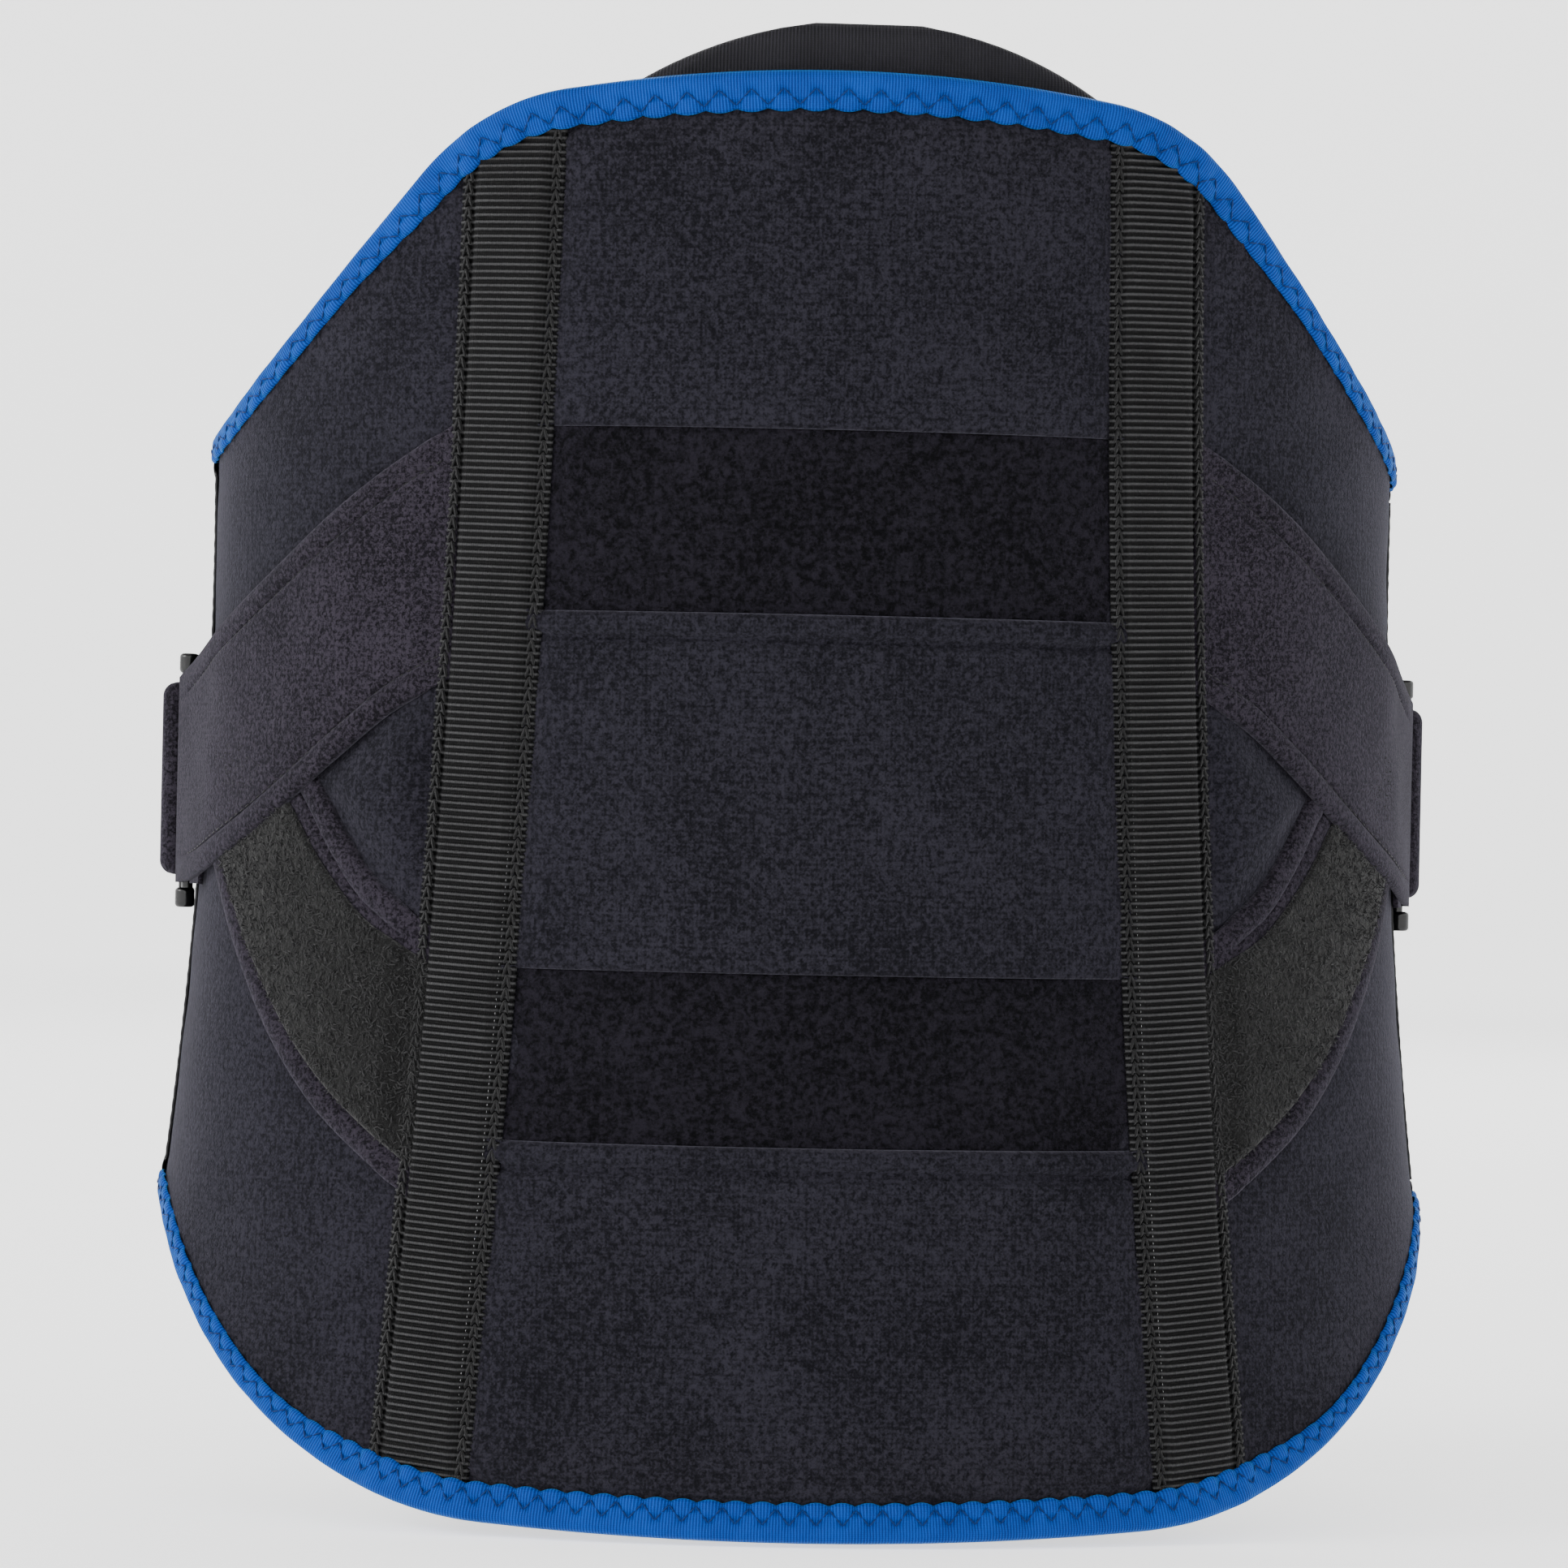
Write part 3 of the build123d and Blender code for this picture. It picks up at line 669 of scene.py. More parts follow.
def channelSpan(across=0.0):
    # where the channel ends under the bindings, at a distance to the side of its own line
    low, high = -0.16, 0.16
    for _ in range(4):
        low = channel["endInset"] - bottomEdge(channelX(low) + across)
        high = topEdge(channelX(high) + across) - channel["endInset"]
    return low, high


def alongChannel(v, across):
    # rows lie square to the channel except near its ends, where they turn to follow the edge
    (first, last), (low, high), zone = channelSpan(), channelSpan(across), channel["turnZone"]
    along = first + (last - first) * v
    overTop, overBottom = np.maximum(along - last + zone, 0), np.maximum(first + zone - along, 0)
    return along + overTop * (high - last) / zone + overBottom * (low - first) / zone


def channelPoint(across, along):
    # across is measured square to the channel's line, and along is the height where they meet
    lean = np.arctan(np.polyval(np.polyder(channelFit), along))
    return channelX(along) + across * np.cos(lean), along - across * np.sin(lean)


def channelLift(across, along):
    low, high = channelSpan(across)
    ends = ease(np.minimum(along - low, high - along), 2 * mm, 16 * mm)
    far = np.abs(across)
    crown = 1 - ease(far, channel["crown"] - 1.3 * mm, channel["crown"])
    full = channel["crownLift"] + 0.25 * mm * np.cos(across / channel["crown"] * 1.4)
    top = (full - channel["endLift"]) * ends + channel["endLift"]
    groove = np.exp(-((far - channel["crown"] - 0.35 * mm) / (0.5 * mm)) ** 2)
    return channel["borderLift"] + (top - channel["borderLift"]) * crown - 0.6 * mm * groove


def placeChannel(u, v):
    half = panelShape["channelHalfWidth"]
    across = (2 * u - 1) * half
    along = alongChannel(v, across)
    ribs = np.abs(np.sin(along / channel["pitch"] * math.pi)) ** 0.8
    calm = 1 - np.exp(-((np.abs(across) - channel["crown"]) / (1.1 * mm)) ** 2)
    lift = channelLift(across, along) + channel["ribDepth"] * (ribs - 0.6) * calm
    lift -= roundedEdge(half - np.abs(across), 0.6 * mm)
    x, z = channelPoint(across, along)
    return onTorso(angleAt(x, z), z, lift), across, along


def chainEnds(side):
    # two slanted legs for every link of the chain stitch that runs down each border
    ends = []
    for edge in (-1, 1):
        middle = edge * (panelShape["channelHalfWidth"] - channel["chainInset"])
        low, high = channelSpan(middle)
        for along in np.arange(low + 3 * mm, high - 3 * mm, channel["chainPitch"]):
            for leg in (-1, 1):
                foot = middle + leg * channel["chainHalfWidth"]
                nextLink = along + channel["chainPitch"] * 1.1
                x, z = channelPoint(np.array([foot, middle]), np.array([along, nextLink]))
                lift = channel["borderLift"] + np.array([0.42, 0.3]) * mm
                points = onTorso(angleAt(x, z), z, lift)
                ends.append(points * np.array([sides[side], 1, 1]))
    return ends


for side in sides:
    low, high = channelSpan()
    rows = int((high - low) / channel["pitch"] * channel["rows"])
    place = onSide(placeChannel, side)
    webbing = cutCloth(f"webbing_{side}", (channel["columns"], rows), place, channel["thickness"])
    dress(webbing, "webbing", "back", [f"webbing_channel_{side}"])
    chain = stitches(f"channelChain_{side}", chainEnds(side), channel["chainRadius"])
    dress(chain, "blackThread", "back")
    high - low
print("webbing channels done")


# Blue bindings, folded over the panel's top and bottom edges and held by a zigzag stitch.
binding = {
    "step": 0.9 * mm, "rows": 34, "topPitch": 8.0 * mm, "bottomPitch": 6.6 * mm, "scallop": 1.1 * mm,
    "thickness": 0.45 * mm, "thread": 0.25 * mm, "near": 9.0 * mm, "far": 4.6 * mm, "flatWidth": 26 * mm,
    "share": 0.9, "narrowing": 0.38, "narrowFrom": 0.62, "narrowTo": 0.95,
}


def tapeShare(path, where):
    # the tape rolls over the edge on the slanted sides, so less of it shows outside
    turn = np.abs(np.interp(where, path[2], path[0]))
    slanted = ease(turn, binding["narrowFrom"], binding["narrowTo"])
    return binding["share"] * (1 - binding["narrowing"] * slanted)


def edgePath(top):
    # angle, height and distance along the panel's edge, from left to right
    angle = np.linspace(-math.pi / 2, math.pi / 2, 2401)
    z = edgeHeight(angle, top)
    girth = girthPerAngle(angle, z)
    steps = np.hypot(np.diff(angle) * (girth[1:] + girth[:-1]) / 2, np.diff(z))
    distance = np.concatenate([[0], np.cumsum(steps)])
    return angle, z, distance


def alongEdge(path, where):
    # angle and height at a distance along a path, and the direction in which it runs there
    angle, z = (np.interp(where, path[2], path[i]) for i in (0, 1))
    ahead, behind = ([np.interp(where + step, path[2], path[i]) for i in (0, 1)] for step in (mm, -mm))
    dAngle, dz = ahead[0] - behind[0], ahead[1] - behind[1]
    run = dAngle * girthPerAngle(angle, z)
    length = np.hypot(run, dz)
    return angle, z, run / length, dz / length


def inward(path, where, distance, top):
    # angle and height of a point at a distance from the path, towards the inside of its piece
    angle, z, run, rise = alongEdge(path, where)
    sign = 1 if top else -1
    return angle + sign * rise * distance / girthPerAngle(angle, z), z - sign * run * distance


def overCentre(angle, z):
    # the binding climbs over the centre sections and the channels' ends
    x = np.abs(halfWidth(z) * np.sin(angle))
    fromLine = np.abs(x - channelX(z))
    overSections = 0.75 * mm * (1 - ease(x, channelX(z), channelX(z) + 8 * mm))
    return overSections + 1.0 * mm * (1 - ease(fromLine, 10 * mm, 17 * mm))


def placeBinding(path, top):
    pitch = binding["topPitch"] if top else binding["bottomPitch"]
    # inward distance and lift of the folded tape, from the free edge outside to the free edge inside
    profile = mm * np.array([
        [10.4, 0.15], [10.1, 0.75], [9.2, 0.95], [7.5, 1.0], [5.5, 1.05], [3.5, 1.15], [1.8, 1.05],
        [0.6, 0.6], [0.0, -0.4], [-0.25, -1.8], [-0.25, -3.4], [0.05, -4.8], [0.8, -5.7],
        [2.4, -6.1], [5.0, -6.2], [8.0, -6.2], [9.8, -6.15], [10.2, -5.6]])

    def place(u, v):
        where = u * path[2][-1]
        spot = (1 - v) * (len(profile) - 1)
        distance, lift = (np.interp(spot, np.arange(len(profile)), profile[:, i]) for i in (0, 1))
        outside = 1 - ease(spot, 6, 9)
        phase = where / pitch * math.pi
        scallops = np.abs(np.sin(phase))
        distance = distance - binding["scallop"] * (1 - scallops) * ease(distance, 6 * mm, 10 * mm) * outside
        pull = np.abs(np.cos(phase)) ** 5 * np.exp(-((distance - 8.6 * mm) / (1.6 * mm)) ** 2)
        pull += scallops ** 6 * np.exp(-((distance - 4.9 * mm) / (1.5 * mm)) ** 2)
        angle, z = inward(path, where, distance * (1 - outside * (1 - tapeShare(path, where))), top)
        lift = lift + outside * (0.35 * mm * scallops * ease(distance, 4 * mm, 8 * mm) - 0.7 * mm * pull)
        lift = lift + outside * overCentre(angle, z) + 0.15 * mm * ripple(angle / 3, z, 5.0)
        return onTorso(angle, z, lift), where, distance * np.sign(spot - 8.5)
    return place


def zigzagEnds(path, top):
    # each leg of the zigzag is two stitches end to end, so that it follows the torso
    pitch = binding["topPitch"] if top else binding["bottomPitch"]
    near, far = binding["near"], binding["far"]
    ends = []
    for i in range(int(path[2][-1] / pitch)):
        for start, end, a, b in ((0, 0.5, near, far), (0.5, 1, far, near)):
            where = np.array([i + start, i + end]) * pitch
            depth = np.array([a, b])
            for half in (np.array([0, 1]) / 2, np.array([1, 2]) / 2):
                spot = where[0] + (where[1] - where[0]) * half
                d = depth[0] + (depth[1] - depth[0]) * half
                angle, z = inward(path, spot, d * tapeShare(path, spot), top)
                lift = (1.75 - 0.35 * (d - far) / (near - far)) * mm + overCentre(angle, z)
                ends.append(onTorso(angle, z, lift))
    return ends


for name, top in (("top", True), ("bottom", False)):
    path = edgePath(top)
    along = int(path[2][-1] / binding["step"])
    place = placeBinding(path, top)
    if top:
        turned = place
    else:
        # the bottom run's tape is turned over, so that its faces look outwards too
        def turned(u, v, place=place):
            return place(1 - u, v)
    tape = cutCloth(f"{name}Binding", (along, binding["rows"]), turned, binding["thickness"])
    dress(tape, "blueTape", "back", [f"{name}_binding"])
    zigzag = stitches(f"{name}Zigzag", zigzagEnds(path, top), binding["thread"])
    dress(zigzag, "blueThread", "back")
print("bindings done")


# The arms themselves, and the loop patch on each lower one.
def hemRelief(distance, hem=arm["hem"], puff=0.45 * mm, groove=0.6 * mm, roll=1.1 * mm):
    # a folded hem: a soft hump, the crease of its stitching, and a rolled edge
    hump = puff * np.sin(np.clip(distance / hem, 0, 1) * math.pi)
    return hump - groove * np.exp(-((distance - hem) / (0.7 * mm)) ** 2) - roundedEdge(distance, roll)


def across(shape, t, v, rows=0.5, depth=0.5):
    # girth, height, and the distances to the nearer and to the low edge, square to the cloth's run
    high, low = smoothCurve(shape["high"], t), smoothCurve(shape["low"], t)
    share = crowded(v, 1, depth, rows)[..., None]
    spot = low + (high - low) * share
    run = smoothCurve(shape["high"], t + 0.02) - smoothCurve(shape["high"], t - 0.02)
    run /= np.maximum(np.linalg.norm(run, axis=-1, keepdims=True), 1e-9)
    width = np.abs((high - low)[..., 0] * run[..., 1] - (high - low)[..., 1] * run[..., 0])
    share = share[..., 0]
    return spot[..., 0], spot[..., 1], np.minimum(share, 1 - share) * width, share * width


def armLift(girth, z):
    # the arm lies on what is under it, and leaves it in a straight line for the ring's bar
    end = arm["high"][-1][0] * mm
    x = rearBar.x + arm["wrapRadius"] * math.cos(arm["firstTurn"])
    turn = (end - flankGirth) / torso["halfDepth"]
    rest = 0.8 * mm + (arm["restLift"] - 0.8 * mm) * ease(girth, 100 * mm, 135 * mm)
    pull = np.clip((girth - end + arm["takeOff"]) / arm["takeOff"], 0, 1) ** 2
    rest = rest - 0.5 * mm * (1 - ease(girth, 102 * mm, 109 * mm))
    return rest + (x / math.cos(turn) - halfWidth(z) - rest) * pull


def placeUpperArm(u, v):
    leaf, wrap = arm["leafShare"], arm["wrapShare"]
    t = u / leaf
    girth, z, edge, cloth = across(arm, np.minimum(t, 1), v, arm["hemRows"], arm["hemDepth"])
    folds = 0.35 * mm * ripple(girth, z, 7.0) * ease(edge, 4 * mm, 14 * mm)
    free = ease(girth, 102 * mm, 110 * mm) * (1 - ease(t, 0.9, 1.0))
    lift = armLift(girth, z) + (hemRelief(edge) + folds) * free
    points = onTorso(angleAtGirth(girth), z, lift)
    # round the bar, and back under the outer leaf
    first, last, radius = arm["firstTurn"], math.pi, arm["wrapRadius"]
    turn = first + (last - first) * np.clip((u - leaf) / (wrap - leaf), 0, 1)
    wrapped = np.stack([rearBar.x + radius * np.cos(turn), rearBar.y + radius * np.sin(turn), z], axis=-1)
    past = np.clip((u - wrap) / (1 - wrap), 0, 1) * arm["tail"]
    start = math.pi / 2 + rearBar.y / torso["halfDepth"]
    tailGirth = girthAtAngle(np.array(start)) - past
    under = (rearBar.x - radius) / math.sin(start) - halfWidth(z)
    close = ease(past, 0, 18 * mm)
    lift = under * (1 - close) + (armLift(tailGirth, z) - 1.5 * mm) * close
    tail = onTorso(angleAtGirth(tailGirth), z, lift)
    points = np.where((u <= leaf)[:, None], points, np.where((u <= wrap)[:, None], wrapped, tail))
    return points, girth + np.clip(u - leaf, 0, 1) * 0.11, cloth


def placeLowerArm(u, v):
    girth, z, edge, cloth = across(lowerArm, u, v, arm["hemRows"], lowerArm["hemDepth"])
    free = ease(girth, 103 * mm, 111 * mm)
    lift = lowerArm["lift"] - 0.5 * mm * (1 - free) + hemRelief(edge, puff=lowerArm["puff"]) * free
    lift += 0.25 * mm * ripple(girth, z, 8.0) * free
    return onTorso(angleAtGirth(girth), z, lift), girth, cloth


def placePatch(u, v):
    girth, z, edge, cloth = across(patch, u, v)
    free = ease(girth, 103 * mm, 111 * mm)
    lift = patch["lift"] - 1.1 * mm * (1 - free) - 0.6 * roundedEdge(edge, 0.9 * mm) * free
    lift += 0.25 * mm * ripple(girth, z, 8.0) * free
    return onTorso(angleAtGirth(girth), z, lift), girth, cloth


towardsOutside = np.array([1, 1.6, 0])


def runAlong(points):
    # the distance of each point from the first one, along the line
    return np.concatenate([[0], np.cumsum(np.linalg.norm(np.diff(points, axis=0), axis=1))])


def seamEnds(place, u, v, pitch, length, proud):
    # stitches along the line that u and v trace on a placed sheet
    points = place(u, v)[0]
    run = runAlong(points)
    starts = np.arange(pitch / 2, run[-1] - length, pitch)
    ends = np.stack([np.stack([np.interp(where, run, points[:, i]) for i in range(3)], axis=-1)
                     for where in (starts, starts + length)], axis=1)
    outward = ends * towardsOutside
    return ends + outward / np.linalg.norm(outward, axis=-1, keepdims=True) * proud


def tufts(place, count, length, seed, lean=0.8):
    # loose curls of pile that stand on a placed sheet, as the two ends of each
    random = np.random.default_rng(seed)
    roots = place(random.random(count), random.random(count))[0]
    outward = roots * towardsOutside
    outward /= np.linalg.norm(outward, axis=1, keepdims=True)
    along = random.normal(size=(count, 3)) * lean + outward * 0.6
    along /= np.linalg.norm(along, axis=1, keepdims=True)
    middle = roots + outward * (random.random((count, 1)) * 0.8 + 0.2) * length * 0.4
    half = along * length * (0.35 + 0.3 * random.random((count, 1)))
    return np.stack([middle - half, middle + half], axis=1)


# Where the upper arms' hem stitches run: a share of their length, and the row of the hem's crease.
seamRun = np.linspace(0.02, arm["leafShare"] * 0.92, 400)
crease = arm["hemRows"] * arm["hem"] / (arm["hemDepth"] * arm["width"])
for side in sides:
    bend = flankBend(side, arm["bendFrom"], arm["bendTo"])
    upper, lower, loops = (onSide(place, side) for place in (placeUpperArm, placeLowerArm, placePatch))
    armPiece = cutCloth(f"upperArm_{side}", (170, 70), upper, arm["thickness"], 0)
    dress(armPiece, "armPlush", stands=[f"upper_arm_{side}", f"arm_loop_{side}"], bend=bend)
    line = seamRun if side == "right" else 1 - seamRun
    pitch, length, proud, radius = arm["seam"].values()
    ends = [seamEnds(upper, line, 0 * line + v, pitch, length, proud) for v in (crease, 1 - crease)]
    seam = stitches(f"armSeam_{side}", np.concatenate(ends), radius)
    dress(seam, "blackThread", bend=bend)
    lowerPiece = cutCloth(f"lowerArm_{side}", (100, 56), lower, lowerArm["thickness"], 0)
    dress(lowerPiece, "armPlush", "back", [f"lower_arm_{side}"])
    patchPiece = cutCloth(f"loopPatch_{side}", (80, 50), loops, patch["thickness"], 0)
    dress(patchPiece, "loopPile", "back", [f"loop_patch_{side}"])
    ends = tufts(loops, patch["curls"], patch["curlLength"], patch["seed"])
    curls = stitches(f"loopCurls_{side}", ends, patch["curlRadius"], (5, 4))
    # the curls take the lighter loopCurl finish, which is painted light on the standing loops
    dress(curls, "loopCurl", "back")
print("arms and loop patches done")


# Pull straps: round the ring's front bar, and forward over the wing to a rounded end with a soft grip.
strap = {
    "low": -21 * mm, "high": 29 * mm, "flankLift": 6.6 * mm, "depthDrop": 3.0 * mm, "end": 92 * mm,
    "leafLength": 120 * mm, "corner": 12 * mm, "hem": 4.5 * mm, "thickness": 1.3 * mm, "leafShare": 0.72,
    "softEdge": 3.2 * mm, "bulge": 3.4 * mm, "lastTurn": 3.5, "gripFrom": 68 * mm, "gripTo": 97 * mm,
    "gripCells": (60, 40), "gripThickness": 2.9 * mm, "hook": (98 * mm, 126 * mm), "hookDrop": 1.25 * mm,
    "hookThickness": 0.8 * mm, "flat": (50 * mm, 135 * mm), "anchorLength": 46 * mm, "anchorWidth": 49 * mm,
    "anchorThickness": 1.2 * mm,
}
fullnesses = {"right": 7.8 * mm, "left": 0.0}
wingEnds = {"right": -66 * mm, "left": 3 * mm}


def frontAngle(x, z):
    # the angle of a point on the belly at that distance to the right of the middle
    return math.pi - np.arcsin(np.clip(x / halfWidth(z), -1, 1))


def cornerInset(fromEnd, radius):
    # how much a rounded corner takes off each edge, near an end
    return radius - np.sqrt(np.maximum(radius ** 2 - np.maximum(radius - fromEnd, 0) ** 2, 0))


def placeStrap(fullness):
    # u runs from the free end over the outer leaf, and then round the ring's bar
    def place(u, v):
        leaf, bar = strap["leafShare"], arm["wrapRadius"]
        t = np.clip(u / leaf, 0, 1)
        last = math.pi / 2 + (frontBar.y + 0.4 * mm) / torso["halfDepth"]
        fromEnd = t * strap["leafLength"]
        width = strap["high"] - strap["low"]
        inset = cornerInset(fromEnd, strap["corner"])
        share = crowded(v, 1, 0.12, 0.25)
        z = strap["low"] + inset + (width - 2 * inset) * share
        first = frontAngle(strap["end"], 0 * z)
        angle = first + (last - first) * t
        edge = np.minimum(np.minimum(share, 1 - share) * (width - 2 * inset), fromEnd + 0.3 * mm)
        soft = roundedEdge(np.minimum(share, 1 - share) * width, strap["softEdge"])
        reach = frontBar.x + bar + strap["bulge"] - soft
        rise = (reach / np.sin(last) - halfWidth(z) - strap["flankLift"]) * ease(t, 0.72, 1.0)
        relief = hemRelief(edge, hem=strap["hem"], puff=0.3 * mm, groove=0.5 * mm)
        relief *= 1 - ease(t, 0.88, 1.0)
        points = onTorso(angle, z, strap["flankLift"] + rise + relief, fullness - strap["depthDrop"])
        turn = strap["lastTurn"] * np.clip((u - leaf) / (1 - leaf), 0, 1)
        radius = bar + (strap["bulge"] - soft) * (1 - ease(turn, 0.0, 1.9))
        radius -= 0.25 * mm * ease(turn, 2.6, strap["lastTurn"])
        x, y = frontBar.x + radius * np.cos(turn), frontBar.y - radius * np.sin(turn)
        wrapped = np.stack([x, y, z], axis=-1)
        cloth = fromEnd + np.clip(u - leaf, 0, 1) * 0.03
        return np.where((u <= leaf)[:, None], points, wrapped), cloth, share * width
    return place


def roundedOblong(u, v, x, z, round, power):
    # points inside an oblong between two values of x and two of z, whose sides bow inwards at the corners
    p, q = 2 * u - 1, 2 * v - 1
    across = (x[0] + x[1]) / 2 + p * np.sqrt(1 - round * np.abs(q) ** power) * (x[1] - x[0]) / 2
    up = (z[0] + z[1]) / 2 + q * np.sqrt(1 - round * np.abs(p) ** power) * (z[1] - z[0]) / 2
    return across, up


def placeGrip(fullness):
    def place(u, v):
        span, heights = (strap["gripFrom"], strap["gripTo"]), (strap["low"] + 4 * mm, strap["high"] - 4 * mm)
        x, z = roundedOblong(u, v, span, heights, 0.12, 4)
        p, q = 2 * u - 1, 2 * v - 1
        angle = frontAngle(x, z)
        ridges = 0.45 * mm * np.sin(np.clip(p * 1.4, -1, 1) * 2.5 * math.pi) ** 2 * (1 - q ** 6)
        lift = strap["flankLift"] + 0.1 * mm + ridges
        return onTorso(angle, z, lift, fullness - strap["depthDrop"]), x, z
    return place


def placeAnchor(fullness):
    # the strap's inner leaf, from the bar down to the wing that it is sewn to
    def place(u, v):
        length = u * strap["anchorLength"]
        start = math.pi / 2 + (frontBar.y + 3.2 * mm) / torso["halfDepth"]
        share = crowded(v, 1, 0.12, 0.25)
        z = strap["low"] + 0.6 * mm + (strap["high"] - strap["low"] - 1.2 * mm) * share
        angle = start + length / (torso["halfDepth"] + 4 * mm)
        lift = (frontBar.x - arm["wrapRadius"] + 0.1 * mm) / math.sin(start) - halfWidth(z)
        near = ease(length, 0, 20 * mm)
        edge = np.minimum(np.minimum(share, 1 - share) * 48 * mm, strap["anchorLength"] - length)
        relief = hemRelief(edge, hem=strap["hem"], puff=0.25 * mm, groove=0.4 * mm) * near
        lift = lift * (1 - near) + 1.0 * mm * near + relief
        return onTorso(angle, z, lift, fullness * ease(length, -60 * mm, 20 * mm)), length, share
    return place


def taper(obj, weights, edge=0.15):
    # a padded piece's thickness falls away towards its rim
    group = obj.vertex_groups.new(name="fill")
    for index, weight in enumerate(weights):
        group.add([index], float(weight), "REPLACE")
    obj.modifiers["thickness"].vertex_group = group.name
    obj.modifiers["thickness"].thickness_vertex_group = edge


def gridShares(cells):
    # how far inside the grid's rim each vertex lies, from 0 at the rim to 1 in the middle, in each direction
    bm = bmesh.new()
    bmesh.ops.create_grid(bm, x_segments=cells[0], y_segments=cells[1], size=0.5)
    shares = np.array([(0.5 - abs(v.co.x), 0.5 - abs(v.co.y)) for v in bm.verts]) * 2
    bm.free()
    return shares


def cushioned(cells, rim):
    # thickness weights that round off a padded piece over that share of its half width and height
    shares = np.clip(gridShares(cells) / np.array(rim), 0, 1)
    return np.sqrt(1 - (1 - shares[:, 0]) ** 2) * np.sqrt(1 - (1 - shares[:, 1]) ** 2)


def mirrored(place, side):
    # like onSide, for pieces on the front, whose grids run the other way round
    def placeFront(u, v):
        points, clothU, clothV = place(1 - u, v) if side == "right" else place(u, v)
        return points * np.array([sides[side], 1, 1]), clothU, clothV
    return placeFront


def tapeStrip(x, z, lift, fullness, crown=0.0):
    # an upright tape on the belly between two distances from the middle and two heights
    def place(u, v):
        across, height = x[0] + (x[1] - x[0]) * u, z[0] + (z[1] - z[0]) * v
        edge = np.minimum(u, 1 - u) * (x[1] - x[0])
        puff = crown * np.sin(u * math.pi) ** 0.5 - roundedEdge(edge, 0.4 * mm)
        return onTorso(frontAngle(across, height), height, lift + puff, fullness), across, height
    return place


for side in sides:
    full, strapBody = fullnesses[side], f"strap_{side}"
    place, gripPlace, anchorPlace = (
        mirrored(make(full), side) for make in (placeStrap, placeGrip, placeAnchor))
    strapPiece = cutCloth(f"pullStrap_{side}", (150, 60), place, strap["thickness"], 0)
    dress(strapPiece, "armPlush", strapBody, [f"pull_strap_{side}"])
    grip = cutCloth(f"strapGrip_{side}", strap["gripCells"], gripPlace, strap["gripThickness"], 0)
    taper(grip, cushioned(strap["gripCells"], (0.28, 0.2)), 0.12)
    dress(grip, "tabFabric", strapBody, [f"strap_tab_{side}"])
    hookStrip = tapeStrip(strap["hook"], (strap["low"] + 5 * mm, strap["high"] - 5 * mm),
                          strap["flankLift"] - strap["hookDrop"], full - strap["depthDrop"])
    hooks = cutCloth(f"strapHook_{side}", (24, 40), mirrored(hookStrip, side), strap["hookThickness"], 0)
    dress(hooks, "hooks", strapBody, [f"strap_hook_{side}"])
    anchor = cutCloth(f"strapAnchor_{side}", (50, 40), anchorPlace, strap["anchorThickness"], 0)
    x = sides[side] * 0.16
    bend = (f"wing_{side}", f"ring_{side}", (x, 38 * mm, 0), (x, 20 * mm, 0))
    dress(anchor, "armPlush", stands=[f"strap_anchor_{side}"], bend=bend)
    paint(nodes[f"ring_{side}"], "gloss")
print("straps and rings done")


# Front wings: foam-backed plush, bound with black tape, and closed over the belly.
wingShape = {
    "top": ((0, 93), (70, 80), (200, 78)), "bottom": ((0, -105), (70, -92), (200, -90)), "corner": 20 * mm,
    "thickness": 3.9 * mm, "inset": 1.2 * mm, "seamGap": 0.3 * mm, "cells": (200, 96),
    "bendFrom": 0.4 * mm, "bendTo": 9 * mm,
}
edgingTape = {
    "step": 1.1 * mm, "rows": 28, "thickness": 0.45 * mm, "flatWidth": 21 * mm,
    "stitchRow": 3.0 / 14, "stitchPitch": 2.8 * mm, "stitchLength": 2.0 * mm, "proud": 0.1 * mm,
    "thread": 0.2 * mm,
}
seamTape = {
    "width": 12 * mm, "inset": 9 * mm, "lift": 0.75 * mm, "rib": 1.6 * mm, "ribDepth": 0.06 * mm,
    "thickness": 0.6 * mm, "flatLength": 180 * mm, "bendFrom": -6 * mm, "bendTo": 8 * mm,
}
pocket = {
    "middle": 118 * mm, "halfWidth": 9 * mm, "heights": (-83 * mm, 71 * mm), "lift": 0.7 * mm,
    "crown": 1.1 * mm, "thickness": 0.5 * mm, "flat": (19 * mm, 154 * mm),
}
closure = {
    "span": (-54 * mm, -14 * mm), "heights": (-78 * mm, 66 * mm), "thickness": 1.0 * mm,
    "hookLift": -4.7 * mm, "loopLift": 0.65 * mm, "flat": (40 * mm, 144 * mm),
}
frontGrip = {
    "span": (-52 * mm, 8 * mm), "heights": (-48 * mm, 36 * mm), "lift": 0.85 * mm, "thickness": 1.3 * mm,
    "cells": (60, 80), "seamLift": 1.55 * mm, "seamInset": 3.5 * mm, "seamGap": 3 * mm, "seamCorner": 8 * mm,
    "stitchPitch": 2.9 * mm, "stitchLength": 2.1 * mm, "thread": 0.25 * mm, "flat": (60 * mm, 84 * mm),
}


def wingHeight(angle, edge, inset=0.0):
    # height of the wing's top or bottom edge where it crosses that angle
    z = np.full_like(angle, wingShape[edge][1][1] * mm)
    for _ in range(4):
        y = -halfDepth(z) * np.cos(angle)
        z = np.interp(y, *[[p[i] * mm for p in wingShape[edge]] for i in (0, 1)])
    return z - inset if edge == "top" else z + inset


def wingSpan(end):
    # the first and last angle, at the seam on the flank and at the front end
    return math.pi / 2 + wingShape["seamGap"] / torso["halfDepth"], float(frontAngle(end, 0.0))


